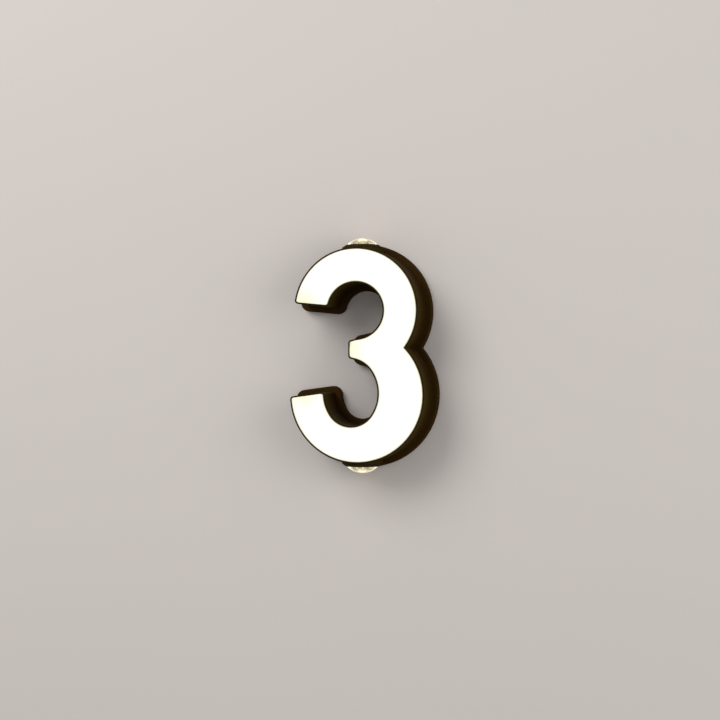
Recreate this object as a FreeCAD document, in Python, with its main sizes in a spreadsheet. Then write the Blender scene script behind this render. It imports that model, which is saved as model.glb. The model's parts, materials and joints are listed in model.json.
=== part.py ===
# Illuminated house number: the numeral 3 as a wall sign with a glowing face and a domed spot lens
# at its top and its bottom. Millimetres. X is right and Z is up as seen from the street, the wall
# is the plane Y = 0 and the face looks along -Y. Depths below are distances out from the wall.
import FreeCAD
import Part
import math
import os
import Sketcher
from FreeCAD import Rotation, Vector

SIZES = {
    # outline of the glowing face
    "upper_lobe_x": -1.4,
    "upper_lobe_z": 40.5,
    "upper_outer_radius": 55.8,
    "upper_inner_radius": 26.5,
    "lower_lobe_x": -0.3,
    "lower_lobe_z": -35.6,
    "lower_outer_radius": 60.6,
    "bowl_x": -5.5,  # the bowl is the round bottom of the lower counter
    "bowl_z": -41.3,
    "bowl_radius": 23.7,
    "crook_x": -7.4,  # the crook is its round top, under the middle bar
    "crook_z": -28,
    "crook_radius": 25.9,
    "side_radius": 36.5,  # flatter curve from the bowl up to the crook
    "tail_radius": 37,  # flatter curve from the bowl up to the lower end
    "upper_end_z": 45.8,
    "upper_end_slope": 5.6,
    "lower_end_flare": 2.1,  # how far its inner corner lies left of the bowl
    "lower_end_z": -34.7,
    "lower_end_slope": 7.7,
    "bar_end_x": -6.5,
    "bar_top_slope": 12,
    "bar_bottom_slope": 15,
    "corner_radius": 1.5,
    # face and shell
    "face_distance": 50,
    "face_thickness": 3,
    "face_clearance": 0.15,
    "face_seal_thickness": 0.5,
    "rim_width": 1.2,
    "rim_chamfer": 0.4,
    "ledge_width": 1.2,
    "shell_seal_thickness": 1,
    # wall tray
    "tray_depth": 8,
    "tray_overhang": 5.4,
    "tray_edge_radius": 1,
    "floor_thickness": 2.5,
    "lip_clearance": 0.25,
    "lip_thickness": 2,
    "lip_height": 6,
    "groove_margin": 2,
    "groove_width": 4,
    "groove_depth": 3,
    "gasket_clearance": 0.2,
    # holes for the wall screws
    "wall_screw_left_x": -40,
    "wall_screw_right_x": 37,
    "wall_screw_z": 57,
    "wall_screw_hole_radius": 2.25,
    "wall_screw_pad_radius": 6,
    "wall_screw_pad_height": 1.5,
    # set screws that hold the shell on the tray's lip
    "set_screw_radius": 1.5,
    "set_screw_length": 5,
    "set_screw_setback": 2.5,
    "set_screw_socket": 0.8,
    "lip_hole_clearance": 0.1,
    # cable entry and its grommet
    "entry_angle": -2,
    "entry_pad_radius": 10,
    "entry_web": 1.5,
    "cable_radius": 3.5,
    "grommet_neck_radius": 6,
    "grommet_flange_radius": 8,
    "grommet_flange": 1.5,
    # earth point
    "earth_angle": -27,
    "earth_pad_radius": 3.5,
    "earth_pad_height": 4,
    "earth_tag_thickness": 0.8,
    "earth_tag_width": 4,
    "earth_tag_length": 9,
    # terminal block, two ways
    "block_x": 27,
    "block_z": 8,
    "block_width": 15,
    "block_length": 16,
    "block_height": 12,
    "block_pad_height": 3,
    "way_pitch": 8,
    "cage_width": 3.6,
    "cage_height": 4.4,
    "cage_length": 9,
    "cage_clearance": 0.2,
    "cage_bore_radius": 1.2,
    # driver on its foam pad
    "driver_shift": 0.8,  # how far it sits left of the middle of the lower stroke
    "driver_lead_pitch": 5.5,
    "driver_top_z": -14,
    "driver_length": 36,
    "driver_width": 20,
    "driver_height": 13.5,
    "driver_wall": 1.5,
    "driver_lid_thickness": 1.5,
    "driver_corner_radius": 2,
    "driver_pad_thickness": 1,
    # plate that carries the face lights
    "plate_distance": 36.9,
    "plate_thickness": 1.5,
    "plate_gap": 0.55,
    "plate_hole_radius": 1.5,
    "plate_screw_length": 6,
    "lug_radius": 3.5,
    "lug_inset": 3,
    "lug_length": 16,
    "board_inset": 8.2,
    "board_thickness": 1,
    "board_bar_margin": 12,
    "led_length": 3.5,
    "led_width": 2.8,
    "led_height": 0.8,
    "led_ring_growth": 1.5,  # how much wider the ring of lights runs in the lower lobe
    "lead_hole_radius": 1.6,
    "face_lead_z": -31,
    # spot lens, its ring and its seat on the shell
    "lens_x": 0.4,
    "lens_distance": 28.1,
    "lens_radius": 14,
    "dome_height": 6.1,
    "lens_flange_width": 1,
    "lens_flange_thickness": 1.3,
    "lens_seal_thickness": 0.8,
    "lens_seal_width": 2.8,
    "ring_radius": 18.5,
    "ring_edge_height": 0.8,
    "ring_thickness": 3.2,
    "ring_land": 0.6,
    "ring_clearance": 0.2,
    "boss_radius": 18.8,
    "boss_rise": 0.3,
    "boss_depth": 5.3,
    "boss_clearance": 0.5,
    "seat_radius": 15.3,
    "seat_depth": 3.3,
    # spot light engine under each lens
    "cup_radius": 8.6,
    "cup_clearance": 0.4,
    "cup_height": 11,
    "cup_mouth_radius": 7.6,
    "cup_throat_radius": 3.6,
    "cup_lens_gap": 0.3,
    "ear_reach": 16.4,
    "ear_radius": 3.5,
    "ear_thickness": 2,
    "ear_lug_drop": 2.4,
    "ear_lug_top": 4.4,
    "spot_board_radius": 8.2,
    "spot_board_thickness": 1.6,
    "spot_led_width": 3.5,
    "spot_led_thickness": 0.7,
    "spot_led_dome_radius": 1.3,
    "sink_radius": 8.4,
    "sink_base": 2,
    "sink_fin_height": 6,
    "sink_slot_width": 2.8,
    "sink_slot_pitch": 3.8,
    # small machine screws, their pilot holes and the leads
    "screw_radius": 1.25,
    "screw_head_radius": 2.2,
    "screw_head_height": 1.4,
    "screw_socket": 0.9,
    "screw_fit": 0.05,
    "small_screw_radius": 1,
    "small_head_radius": 1.3,
    "small_head_height": 1.2,
    "lead_radius": 0.8,
}
PLATE_LUG_ANGLES = {"upper": (160, 40, -15), "lower": (200, 320, 20)}
SET_SCREW_ANGLES = {"upper": (116, 158), "lower": (202, 244)}
CUT_MARGIN = 1  # how far a cutting solid runs past the faces that it opens


class Size:
    """A value together with the sheet expression that gives it."""

    def __init__(self, number, text):
        self.number = number
        self.text = text

    def joined(self, sign, other, number):
        return Size(number, f"({self.text} {sign} {text_of(other)})")

    def __add__(self, other):
        return self.joined("+", other, self.number + number_of(other))

    def __sub__(self, other):
        return self.joined("-", other, self.number - number_of(other))

    def __mul__(self, other):
        return self.joined("*", other, self.number * number_of(other))

    def __truediv__(self, other):
        return self.joined("/", other, self.number / number_of(other))

    def __neg__(self):
        return Size(-self.number, f"(0 - {self.text})")


def number_of(value):
    return value.number if isinstance(value, Size) else float(value)


def text_of(value):
    return value.text if isinstance(value, Size) else f"{float(value):.9f}"


doc = FreeCAD.newDocument("HouseNumber")
sheet = doc.addObject("Spreadsheet::Sheet", "Sizes")
for row, (alias, value) in enumerate(SIZES.items(), 1):
    sheet.set(f"A{row}", alias.replace("_", " "))
    sheet.set(f"B{row}", str(value))
    sheet.setAlias(f"B{row}", alias)
doc.recompute()


def size(alias):
    return Size(float(sheet.get(alias)), f"Sizes.{alias}")


def bind(thing, name, value):
    """Drive one property of an object from the sheet."""
    thing.setExpression(name, text_of(value))


def put(thing, place, turn=Rotation()):
    """Give an object its placement, driven from the sheet."""
    thing.Placement = FreeCAD.Placement(Vector(), turn)
    for axis, value in zip("xyz", place):
        bind(thing, f".Placement.Base.{axis}", value)
    return thing


# ---------------------------------------------------------------- general pieces

UP = Rotation()
DOWN = Rotation(Vector(0, 1, 0), 180)
OUT_FROM_WALL = Rotation(Vector(1, 0, 0), 90)  # turns local +Z to -Y


def radial(angle):
    """Local +Z turned to point away from a lobe's centre."""
    return Rotation(Vector(0, 1, 0), 90 - angle)


def cylinder(label, radius, height, place, turn=UP):
    made = doc.addObject("Part::Cylinder", label)
    bind(made, "Radius", radius)
    bind(made, "Height", height)
    return put(made, place, turn)


def box(label, extent, place):
    """A box given by its extent along X, Y and Z and its lowest corner."""
    made = doc.addObject("Part::Box", label)
    for name, value in zip(("Length", "Width", "Height"), extent):
        bind(made, name, value)
    return put(made, place)


def fuse(label, *pieces):
    made = doc.addObject("Part::MultiFuse", label)
    made.Shapes = list(pieces)
    return made


def cut(label, base, *tools):
    made = doc.addObject("Part::Cut", label)
    made.Base = base
    made.Tool = tools[0] if len(tools) == 1 else fuse(label + "_tools", *tools)
    return made


def group(label, piece, places):
    """The same piece at each place, as one node of separate solids."""
    links = []
    for count, (place, turn) in enumerate(places, 1):
        link = doc.addObject("App::Link", f"{label}_{count}")
        link.setLink(piece)
        links.append(put(link, place, turn))
    made = doc.addObject("Part::Compound", label)
    made.Links = links
    return made


def plane_of(body, role):
    return next(item for item in body.Origin.OriginFeatures if item.Role == role)


def profile(body, role, corners):
    """A closed sketch of straight lines whose corners are driven from the sheet."""
    sketch = body.newObject("Sketcher::SketchObject", body.Name + "_profile")
    sketch.AttachmentSupport = (plane_of(body, role), [""])
    sketch.MapMode = "FlatFace"
    spots = [Vector(number_of(across), number_of(along), 0) for across, along in corners]
    for start, end in zip(spots, spots[1:] + spots[:1]):
        sketch.addGeometry(Part.LineSegment(start, end), False)
    for line in range(len(corners)):
        sketch.addConstraint(Sketcher.Constraint("Coincident", line, 2, (line + 1) % len(corners), 1))
    for line, corner in enumerate(corners):
        for kind, value in zip(("DistanceX", "DistanceY"), corner):
            rule = Sketcher.Constraint(kind, -1, 1, line, 1, number_of(value))
            bind(sketch, f"Constraints[{sketch.addConstraint(rule)}]", value)
    return sketch


def turned(label, corners):
    """A body turned about its own Z axis from corners given as (radius, height)."""
    body = doc.addObject("PartDesign::Body", label)
    sketch = profile(body, "XZ_Plane", corners)
    feature = body.newObject("PartDesign::Revolution", label + "_turned")
    feature.Profile = sketch
    feature.ReferenceAxis = (sketch, ["V_Axis"])
    feature.Angle = 360
    return body


def hex_socket(body, radius, depth):
    """Cut a hexagon socket down from the body's Z = 0 plane."""
    doc.recompute()
    before = body.Shape.Volume
    corners = [(radius * math.cos(math.radians(turn)), radius * math.sin(math.radians(turn)))
               for turn in range(0, 360, 60)]
    feature = body.newObject("PartDesign::Pocket", body.Name + "_socket")
    feature.Profile = profile(body, "XY_Plane", corners)
    bind(feature, "Length", depth)
    doc.recompute()
    if not body.Shape.Volume < before:
        raise RuntimeError(f"the socket cuts nothing out of {body.Label}")
    return body


# ---------------------------------------------------------------- outline of the numeral

corner_radius = size("corner_radius")
upper_centre = (size("upper_lobe_x"), size("upper_lobe_z"))
lower_centre = (size("lower_lobe_x"), size("lower_lobe_z"))
upper_outer_radius = size("upper_outer_radius")
lower_outer_radius = size("lower_outer_radius")


def crossing(first, first_radius, second, second_radius, side):
    """Where two circles cross: side +1 is left of the way from first to second, -1 right of it."""
    way = second - first
    along = (way.Length ** 2 + first_radius ** 2 - second_radius ** 2) / (2 * way.Length)
    across = math.sqrt(first_radius ** 2 - along ** 2)
    way.normalize()
    return first + way * along + Vector(-way.y, way.x, 0) * (side * across)


def heading(angle):
    return Vector(math.cos(math.radians(angle)), math.sin(math.radians(angle)), 0)


def on_circle(start, direction, centre, radius):
    """Where a ray from inside a circle leaves it."""
    offset = start - centre
    middle = offset.dot(direction)
    return start + direction * (math.sqrt(middle ** 2 - offset.Length ** 2 + radius ** 2) - middle)


def arc_between(centre, radius, start, end):
    """The arc that turns anticlockwise about its centre from start to end."""
    angles = [math.atan2(spot.y - centre.y, spot.x - centre.x) for spot in (start, end)]
    return Part.ArcOfCircle(Part.Circle(centre, Vector(0, 0, 1), radius), *angles)


def numeral_core():
    """The face's outline, shrunk by the corner radius, so that each offset of it has round
    outer corners. It is drawn from the outer arc of the upper lobe anticlockwise."""
    upper, lower, bowl, crook = (
        Vector(size(name + "_x").number, size(name + "_z").number, 0)
        for name in ("upper_lobe", "lower_lobe", "bowl", "crook"))
    outer_upper = upper_outer_radius - corner_radius
    outer_lower = lower_outer_radius - corner_radius
    inner_upper = size("upper_inner_radius") + corner_radius
    bowl_radius = size("bowl_radius") + corner_radius
    crook_radius = size("crook_radius") + corner_radius
    side_radius = size("side_radius") + corner_radius
    tail_radius = size("tail_radius") + corner_radius
    upper_end_z = size("upper_end_z") + corner_radius
    lower_end_x = size("bowl_x") - size("bowl_radius") - size("lower_end_flare")
    lower_end = (lower_end_x - corner_radius, size("lower_end_z") - corner_radius)
    bar_end_x = size("bar_end_x") + corner_radius
    slopes = {name: size(name + "_slope") for name in ("upper_end", "lower_end", "bar_top", "bar_bottom")}

    # corners of the outline, worked out so that the sketch starts solved
    notch = crossing(upper, outer_upper.number, lower, outer_lower.number, 1)
    rise = upper_end_z.number - upper.y
    upper_inner = Vector(upper.x - math.sqrt(inner_upper.number ** 2 - rise ** 2), upper_end_z.number, 0)
    upper_outer = on_circle(upper_inner, heading(180 - slopes["upper_end"].number), upper, outer_upper.number)
    lower_inner = Vector(lower_end[0].number, lower_end[1].number, 0)
    lower_outer = on_circle(lower_inner, heading(180 + slopes["lower_end"].number), lower, outer_lower.number)
    tail = crossing(bowl, (tail_radius - bowl_radius).number, lower_inner, tail_radius.number, -1)
    tail_foot = bowl + (bowl - tail).normalize() * bowl_radius.number
    side = crossing(bowl, (side_radius - bowl_radius).number, crook, (side_radius - crook_radius).number, 1)
    side_foot = bowl + (bowl - side).normalize() * bowl_radius.number
    side_head = crook + (crook - side).normalize() * crook_radius.number
    bar_low = crook + heading(90 - slopes["bar_bottom"].number) * crook_radius.number
    bar_low_end = Vector(bar_end_x.number, bar_low.y + (bar_low.x - bar_end_x.number)
                         * math.tan(math.radians(slopes["bar_bottom"].number)), 0)
    bar_high = upper + heading(slopes["bar_top"].number - 90) * inner_upper.number
    bar_high_end = Vector(bar_end_x.number, bar_high.y - (bar_high.x - bar_end_x.number)
                          * math.tan(math.radians(slopes["bar_top"].number)), 0)

    sketch = doc.addObject("Sketcher::SketchObject", "numeral_core")
    sketch.Placement = FreeCAD.Placement(Vector(), OUT_FROM_WALL)
    (upper_arc, upper_end, upper_counter, bar_top, bar_end, bar_bottom, crook_arc, side_arc, bowl_arc,
     tail_arc, lower_end_line, lower_arc) = (
        sketch.addGeometry(piece, False) for piece in (
            arc_between(upper, outer_upper.number, notch, upper_outer),
            Part.LineSegment(upper_outer, upper_inner),
            arc_between(upper, inner_upper.number, bar_high, upper_inner),
            Part.LineSegment(bar_high_end, bar_high),
            Part.LineSegment(bar_high_end, bar_low_end),
            Part.LineSegment(bar_low_end, bar_low),
            arc_between(crook, crook_radius.number, side_head, bar_low),
            arc_between(side, side_radius.number, side_foot, side_head),
            arc_between(bowl, bowl_radius.number, tail_foot, side_foot),
            arc_between(tail, tail_radius.number, lower_inner, tail_foot),
            Part.LineSegment(lower_outer, lower_inner),
            arc_between(lower, outer_lower.number, lower_outer, notch)))
    start, end, centre = 1, 2, 3
    for joint in ((upper_arc, end, upper_end, start), (upper_end, end, upper_counter, end),
                  (bar_top, start, bar_end, start), (bar_end, end, bar_bottom, start),
                  (tail_arc, start, lower_end_line, end), (lower_end_line, start, lower_arc, start),
                  (lower_arc, end, upper_arc, start), (upper_arc, centre, upper_counter, centre)):
        sketch.addConstraint(Sketcher.Constraint("Coincident", *joint))
    for joint in ((upper_counter, start, bar_top, end), (bar_bottom, end, crook_arc, end),
                  (crook_arc, start, side_arc, end), (side_arc, start, bowl_arc, end),
                  (bowl_arc, start, tail_arc, end)):
        sketch.addConstraint(Sketcher.Constraint("Tangent", *joint))
    sketch.addConstraint(Sketcher.Constraint("Vertical", bar_end))

    def drive(name, value, kind, *where):
        """Add a named dimension. Slopes are angles in degrees, the others are lengths."""
        is_angle = kind == "Angle"
        number = math.radians(value.number) if is_angle else value.number
        sketch.renameConstraint(sketch.addConstraint(Sketcher.Constraint(kind, *where, number)), name)
        sketch.setExpression(f"Constraints.{name}", f"{value.text} * 1 deg" if is_angle else value.text)

    for name, arc, radius in (
            ("upper_outer", upper_arc, outer_upper), ("upper_inner", upper_counter, inner_upper),
            ("lower_outer", lower_arc, outer_lower), ("bowl", bowl_arc, bowl_radius),
            ("crook", crook_arc, crook_radius), ("side", side_arc, side_radius),
            ("tail", tail_arc, tail_radius)):
        drive(name + "_radius", radius, "Radius", arc)
    for name, item, point, spot in (
            ("upper", upper_arc, centre, upper_centre), ("lower", lower_arc, centre, lower_centre),
            ("bowl", bowl_arc, centre, (size("bowl_x"), size("bowl_z"))),
            ("crook", crook_arc, centre, (size("crook_x"), size("crook_z"))),
            ("lower_end", tail_arc, start, lower_end)):
        drive(name + "_x", spot[0], "DistanceX", -1, 1, item, point)
        drive(name + "_z", spot[1], "DistanceY", -1, 1, item, point)
    drive("upper_end_z", upper_end_z, "DistanceY", -1, 1, upper_end, end)
    drive("bar_end_x", bar_end_x, "DistanceX", -1, 1, bar_end, start)
    for name, line, slope in (("upper_end_slope", upper_end, -slopes["upper_end"]),
                              ("lower_end_slope", lower_end_line, slopes["lower_end"]),
                              ("bar_top_slope", bar_top, slopes["bar_top"]),
                              ("bar_bottom_slope", bar_bottom, -slopes["bar_bottom"])):
        drive(name, slope, "Angle", line)
    return sketch


core = numeral_core()


def slab(label, beyond, back, front):
    """A slice of the numeral between two distances from the wall. Its edge lies the given
    distance beyond the edge of the face, or inside it where that is negative."""
    outline = doc.addObject("Part::Offset2D", label + "_outline")
    outline.Source = core
    outline.Join = "Arc"
    bind(outline, "Value", corner_radius + beyond)
    made = doc.addObject("Part::Extrusion", label)
    made.Base = outline
    made.DirMode = "Custom"
    made.Dir = Vector(0, -1, 0)
    made.Solid = True
    length = number_or_size(front) - back
    bind(made, "LengthFwd", length)
    bind(made, ".Placement.Base.y", -number_or_size(back))
    return made


def number_or_size(value):
    return value if isinstance(value, Size) else Size(float(value), text_of(value))


def band(label, outer, inner, back, front):
    """A slab with the middle cut away, as wide as the distance between its two edges."""
    hollow = slab(label + "_hollow", inner, number_or_size(back) - CUT_MARGIN,
                  number_or_size(front) + CUT_MARGIN)
    return cut(label, slab(label + "_solid", outer, back, front), hollow)


# distances beyond the edge of the face
rim_edge = size("face_clearance") + size("rim_width")
wall_inside = size("face_clearance") - size("ledge_width")
tray_edge = rim_edge + size("tray_overhang")
lip_edge = wall_inside - size("lip_clearance")
lip_inside = lip_edge - size("lip_thickness")

# distances out from the wall
face_front = size("face_distance")
face_back = face_front - size("face_thickness")
ledge_front = face_back - size("face_seal_thickness")
tray_front = size("tray_depth")
shell_back = tray_front + size("shell_seal_thickness")
floor_front = size("floor_thickness")
plate_back = size("plate_distance")
plate_front = plate_back + size("plate_thickness")
board_front = plate_front + size("board_thickness")

# the lobes by name: centre and radius of the face's outer arc
LOBES = {"upper": (upper_centre, upper_outer_radius), "lower": (lower_centre, lower_outer_radius)}


def on_lobe(lobe, angle, radius, distance):
    """A point at an angle and radius about a lobe's centre, at a distance from the wall."""
    centre, _ = LOBES[lobe]
    turn = math.radians(angle)
    return (centre[0] + radius * math.cos(turn), -distance, centre[1] + radius * math.sin(turn))


def on_upper_stroke(angle):
    """X and Z of a point in the middle of the upper lobe's stroke, at an angle about its centre."""
    radius = (upper_outer_radius + size("upper_inner_radius")) / 2
    turn = math.radians(angle.number)
    return upper_centre[0] + radius * math.cos(turn), upper_centre[1] + radius * math.sin(turn)


entry_x, entry_z = on_upper_stroke(size("entry_angle"))
earth_x, earth_z = on_upper_stroke(size("earth_angle"))
lower_stroke_x = (size("lower_lobe_x") + lower_outer_radius + size("bowl_x") + size("bowl_radius")) / 2
driver_x = lower_stroke_x - size("driver_shift")


# ---------------------------------------------------------------- seats of the two spot lenses

lens_radius = size("lens_radius")
seat_floor = -size("seat_depth")  # heights over the flat top of the boss, along the lens's axis
lens_bottom = seat_floor + size("lens_seal_thickness")
cup_top = lens_bottom - size("cup_lens_gap")
cup_bottom = cup_top - size("cup_height")
spot_board_bottom = cup_bottom - size("spot_board_thickness")
sink_base_bottom = spot_board_bottom - size("sink_base")
boss_bottom = -size("boss_depth")
ear_top = boss_bottom - size("ear_lug_drop")
ear_bottom = ear_top - size("ear_thickness")

boss_top = {"top": upper_centre[1] + upper_outer_radius + rim_edge + size("boss_rise"),
            "bottom": lower_centre[1] - lower_outer_radius - rim_edge - size("boss_rise")}
SPOT_TURNS = {"top": (UP, 1), "bottom": (DOWN, -1)}


def spot_place(end, height, across=0):
    """A point at a height over a boss and a distance across it, and the turn of its axis."""
    turn, sign = SPOT_TURNS[end]
    place = (size("lens_x") + across, -size("lens_distance"), boss_top[end] + number_or_size(height) * sign)
    return place, turn


def spot_cylinder(label, end, radius, low, high, across=0):
    """A cylinder on a lens's axis, or across from it, between two heights over the boss."""
    place, turn = spot_place(end, low, across)
    return cylinder(f"{label}_{end}", radius, number_or_size(high) - low, place, turn)


boss_room_radius = size("boss_radius") + size("boss_clearance")
boss_room_depth = size("boss_depth") + size("boss_clearance")


# ---------------------------------------------------------------- tray against the wall

set_screw_distance = shell_back + size("set_screw_setback")
earth_hole_depth = size("earth_pad_height") + floor_front / 2
block_hole_depth = size("block_pad_height") + floor_front / 2


def rounded_front(label, solid, radius, distance, kind):
    """Round or chamfer the outermost edges of a solid at a distance from the wall."""
    doc.recompute()
    front = [(index, edge) for index, edge in enumerate(solid.Shape.Edges, 1)
             if abs(edge.BoundBox.YMin + distance.number) < 1e-6
             and abs(edge.BoundBox.YMax + distance.number) < 1e-6]
    loops = Part.sortEdges([edge for _, edge in front])
    outer = max(loops, key=lambda loop: Part.Wire(loop).BoundBox.DiagonalLength)
    chosen = [index for index, edge in front if any(edge.isSame(other) for other in outer)]
    if not chosen:
        raise RuntimeError(f"no front edge found on {solid.Label}")
    made = doc.addObject(kind, label)
    made.Base = solid
    made.Edges = [(index, radius.number, radius.number) for index in chosen]
    return made


def make_base_tray():
    plate = rounded_front("tray_plate", slab("tray_plate_square", tray_edge, 0, tray_front),
                          size("tray_edge_radius"), tray_front, "Part::Fillet")
    lip = slab("tray_lip", lip_edge, floor_front, tray_front + size("lip_height"))
    cavity = slab("tray_cavity", lip_inside, floor_front, tray_front + size("lip_height") + CUT_MARGIN)
    groove_edge = tray_edge - size("groove_margin")
    groove = band("tray_groove", groove_edge, groove_edge - size("groove_width"), -CUT_MARGIN,
                  size("groove_depth"))
    lip_gaps = [spot_cylinder("lip_gap", end, boss_room_radius, -boss_room_depth, boss_room_depth)
                for end in boss_top]
    rim = cut("tray_rim", fuse("tray_walls", plate, lip), cavity, groove, *lip_gaps)

    pads = []
    holes = []
    wall_screw_height = floor_front + size("wall_screw_pad_height")
    for side in ("left", "right"):
        for sign, end in ((1, "upper"), (-1, "lower")):
            place = (size(f"wall_screw_{side}_x"), 0, size("wall_screw_z") * sign)
            name = f"wall_screw_{end}_{side}"
            back_place = (place[0], -floor_front + CUT_MARGIN, place[2])
            pads.append(cylinder(name + "_pad", size("wall_screw_pad_radius"),
                                 size("wall_screw_pad_height") + CUT_MARGIN, back_place, OUT_FROM_WALL))
            hole_place = (place[0], CUT_MARGIN, place[2])
            holes.append(cylinder(name + "_hole", size("wall_screw_hole_radius"),
                                  wall_screw_height + 2 * CUT_MARGIN, hole_place, OUT_FROM_WALL))

    entry_front = size("grommet_flange") + size("entry_web")
    pads.append(cylinder("entry_pad", size("entry_pad_radius"), entry_front - floor_front + CUT_MARGIN,
                         (entry_x, -floor_front + CUT_MARGIN, entry_z), OUT_FROM_WALL))
    entry_place = (entry_x, CUT_MARGIN, entry_z)
    holes.append(cylinder("entry_hole", size("grommet_neck_radius") + size("screw_fit"),
                          entry_front + 2 * CUT_MARGIN, entry_place, OUT_FROM_WALL))
    holes.append(cylinder("entry_recess", size("grommet_flange_radius") + size("gasket_clearance"),
                          size("grommet_flange") + CUT_MARGIN, entry_place, OUT_FROM_WALL))

    earth_place = (earth_x, -floor_front + CUT_MARGIN, earth_z)
    pads.append(cylinder("earth_pad", size("earth_pad_radius"), size("earth_pad_height") + CUT_MARGIN,
                         earth_place, OUT_FROM_WALL))
    holes.append(cylinder("earth_hole", size("screw_radius") + size("screw_fit"), earth_hole_depth,
                          (earth_x, -floor_front - size("earth_pad_height") + earth_hole_depth,
                           earth_z), OUT_FROM_WALL))

    block_corner = (size("block_x") - size("block_width") / 2, -floor_front - size("block_pad_height"),
                    size("block_z") - size("block_length") / 4)
    pads.append(box("block_pad", (size("block_width"), size("block_pad_height") + CUT_MARGIN,
                                  size("block_length") / 2), block_corner))
    holes.append(cylinder("block_hole", size("screw_radius") + size("screw_fit"), block_hole_depth,
                          (size("block_x"), -floor_front - size("block_pad_height") + block_hole_depth,
                           size("block_z")), OUT_FROM_WALL))

    for lobe, angles in SET_SCREW_ANGLES.items():
        for angle in angles:
            start = LOBES[lobe][1] + lip_inside - 2 * CUT_MARGIN
            holes.append(cylinder(f"lip_hole_{lobe}_{angle}",
                                  size("set_screw_radius") + size("lip_hole_clearance"),
                                  size("lip_thickness") + 3 * CUT_MARGIN,
                                  on_lobe(lobe, angle, start, set_screw_distance), radial(angle)))
    return cut("base_tray", fuse("tray_with_pads", rim, *pads), *holes)


base_tray = make_base_tray()

groove_gap = size("gasket_clearance")
gasket_edge = tray_edge - size("groove_margin") - groove_gap
wall_gasket = band("wall_gasket", gasket_edge, gasket_edge - size("groove_width") + groove_gap * 2, 0,
                   size("groove_depth"))
shell_seal = band("shell_seal", rim_edge, wall_inside, tray_front, shell_back)


# ---------------------------------------------------------------- shell, face and face seal

ear_screw_bite = size("ear_lug_drop") + size("screw_radius") / 2


def lug_place(lobe, angle, distance):
    radius = LOBES[lobe][1] + wall_inside - size("lug_inset")
    return on_lobe(lobe, angle, radius, distance)


def lug_places(distance):
    """Where the plate is screwed to the shell: round both lobes and at the end of the bar."""
    places = [lug_place(lobe, angle, distance)
              for lobe, angles in PLATE_LUG_ANGLES.items() for angle in angles]
    bar_z = (size("upper_lobe_z") - size("upper_inner_radius") + size("crook_z") + size("crook_radius")) / 2
    places.append((size("bar_end_x") - wall_inside + size("lug_inset"), -distance, bar_z))
    return places


def make_housing_shell():
    outside = rounded_front("shell_outside", slab("shell_outside_square", rim_edge, shell_back, face_front),
                            size("rim_chamfer"), face_front, "Part::Chamfer")
    inside = slab("shell_inside", wall_inside, shell_back - CUT_MARGIN, face_front)
    rebate = slab("shell_rebate", size("face_clearance"), ledge_front, face_front + CUT_MARGIN)
    walls = cut("shell_walls", outside, inside)

    lugs = [cylinder(f"plate_lug_{count}", size("lug_radius"), size("lug_length"), place, OUT_FROM_WALL)
            for count, place in enumerate(lug_places(plate_back - size("lug_length")), 1)]
    pilot_radius = size("screw_radius") + size("screw_fit")
    pilots = [cylinder(f"plate_pilot_{count}", pilot_radius, size("plate_screw_length"), place, OUT_FROM_WALL)
              for count, place in enumerate(lug_places(plate_back - size("plate_screw_length")), 1)]

    for end in boss_top:
        lugs.append(spot_cylinder("lens_boss", end, size("boss_radius"), boss_bottom, 0))
        pilots.append(spot_cylinder("lens_seat", end, size("seat_radius"), seat_floor, CUT_MARGIN))
        pilots.append(spot_cylinder("cup_hole", end, size("cup_radius") + size("cup_clearance"),
                                    boss_bottom - CUT_MARGIN, seat_floor + CUT_MARGIN))
        for side, sign in (("left", -1), ("right", 1)):
            across = size("ear_reach") * sign
            lugs.append(spot_cylinder("ear_lug_" + side, end, size("ear_radius"), ear_top,
                                      -size("ear_lug_top"), across))
            pilots.append(spot_cylinder("ear_pilot_" + side, end, pilot_radius, ear_top - CUT_MARGIN,
                                        ear_top + ear_screw_bite, across))

    for lobe, angles in SET_SCREW_ANGLES.items():
        for angle in angles:
            start = LOBES[lobe][1] + wall_inside - CUT_MARGIN
            pilots.append(cylinder(f"set_screw_hole_{lobe}_{angle}",
                                   size("set_screw_radius") + size("screw_fit"),
                                   rim_edge - wall_inside + 2 * CUT_MARGIN,
                                   on_lobe(lobe, angle, start, set_screw_distance), radial(angle)))
    return cut("housing_shell", fuse("shell_with_bosses", walls, *lugs), rebate, *pilots)


housing_shell = make_housing_shell()
face_diffuser = slab("face_diffuser", 0, face_back, face_front)
face_seal = band("face_seal", 0, wall_inside, ledge_front, face_back)


# ---------------------------------------------------------------- screws


def pan_screw(label, radius, head_radius, head_height, length):
    """A screw whose head's top is at Z = 0 and whose shank goes down."""
    crown = head_height / 4
    body = turned(label, [(0, 0), (head_radius - crown, 0), (head_radius, -crown),
                          (head_radius, -head_height), (radius, -head_height),
                          (radius, -head_height - length), (0, -head_height - length)])
    return hex_socket(body, size("screw_socket"), head_height * 0.6)


plate_screw = pan_screw("plate_screw", size("screw_radius"), size("screw_head_radius"),
                        size("screw_head_height"), size("plate_screw_length") - size("screw_head_height") / 2)
ear_screw = pan_screw("ear_screw", size("screw_radius"), size("screw_head_radius"),
                      size("screw_head_height"), size("ear_thickness") + ear_screw_bite - size("screw_fit"))
sink_screw_length = size("sink_base") + size("spot_board_thickness") + size("cup_height") / 3
sink_screw = pan_screw("sink_screw", size("small_screw_radius"), size("small_head_radius"),
                       size("small_head_height"), sink_screw_length)
block_screw_length = size("block_height") + block_hole_depth - CUT_MARGIN
block_screw = pan_screw("block_screw", size("screw_radius"), size("screw_head_radius"),
                        size("screw_head_height"), block_screw_length - size("screw_head_height"))
earth_machine_screw = pan_screw("earth_machine_screw", size("screw_radius"), size("screw_head_radius"),
                                size("screw_head_height"),
                                size("earth_tag_thickness") + earth_hole_depth - CUT_MARGIN)

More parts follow.
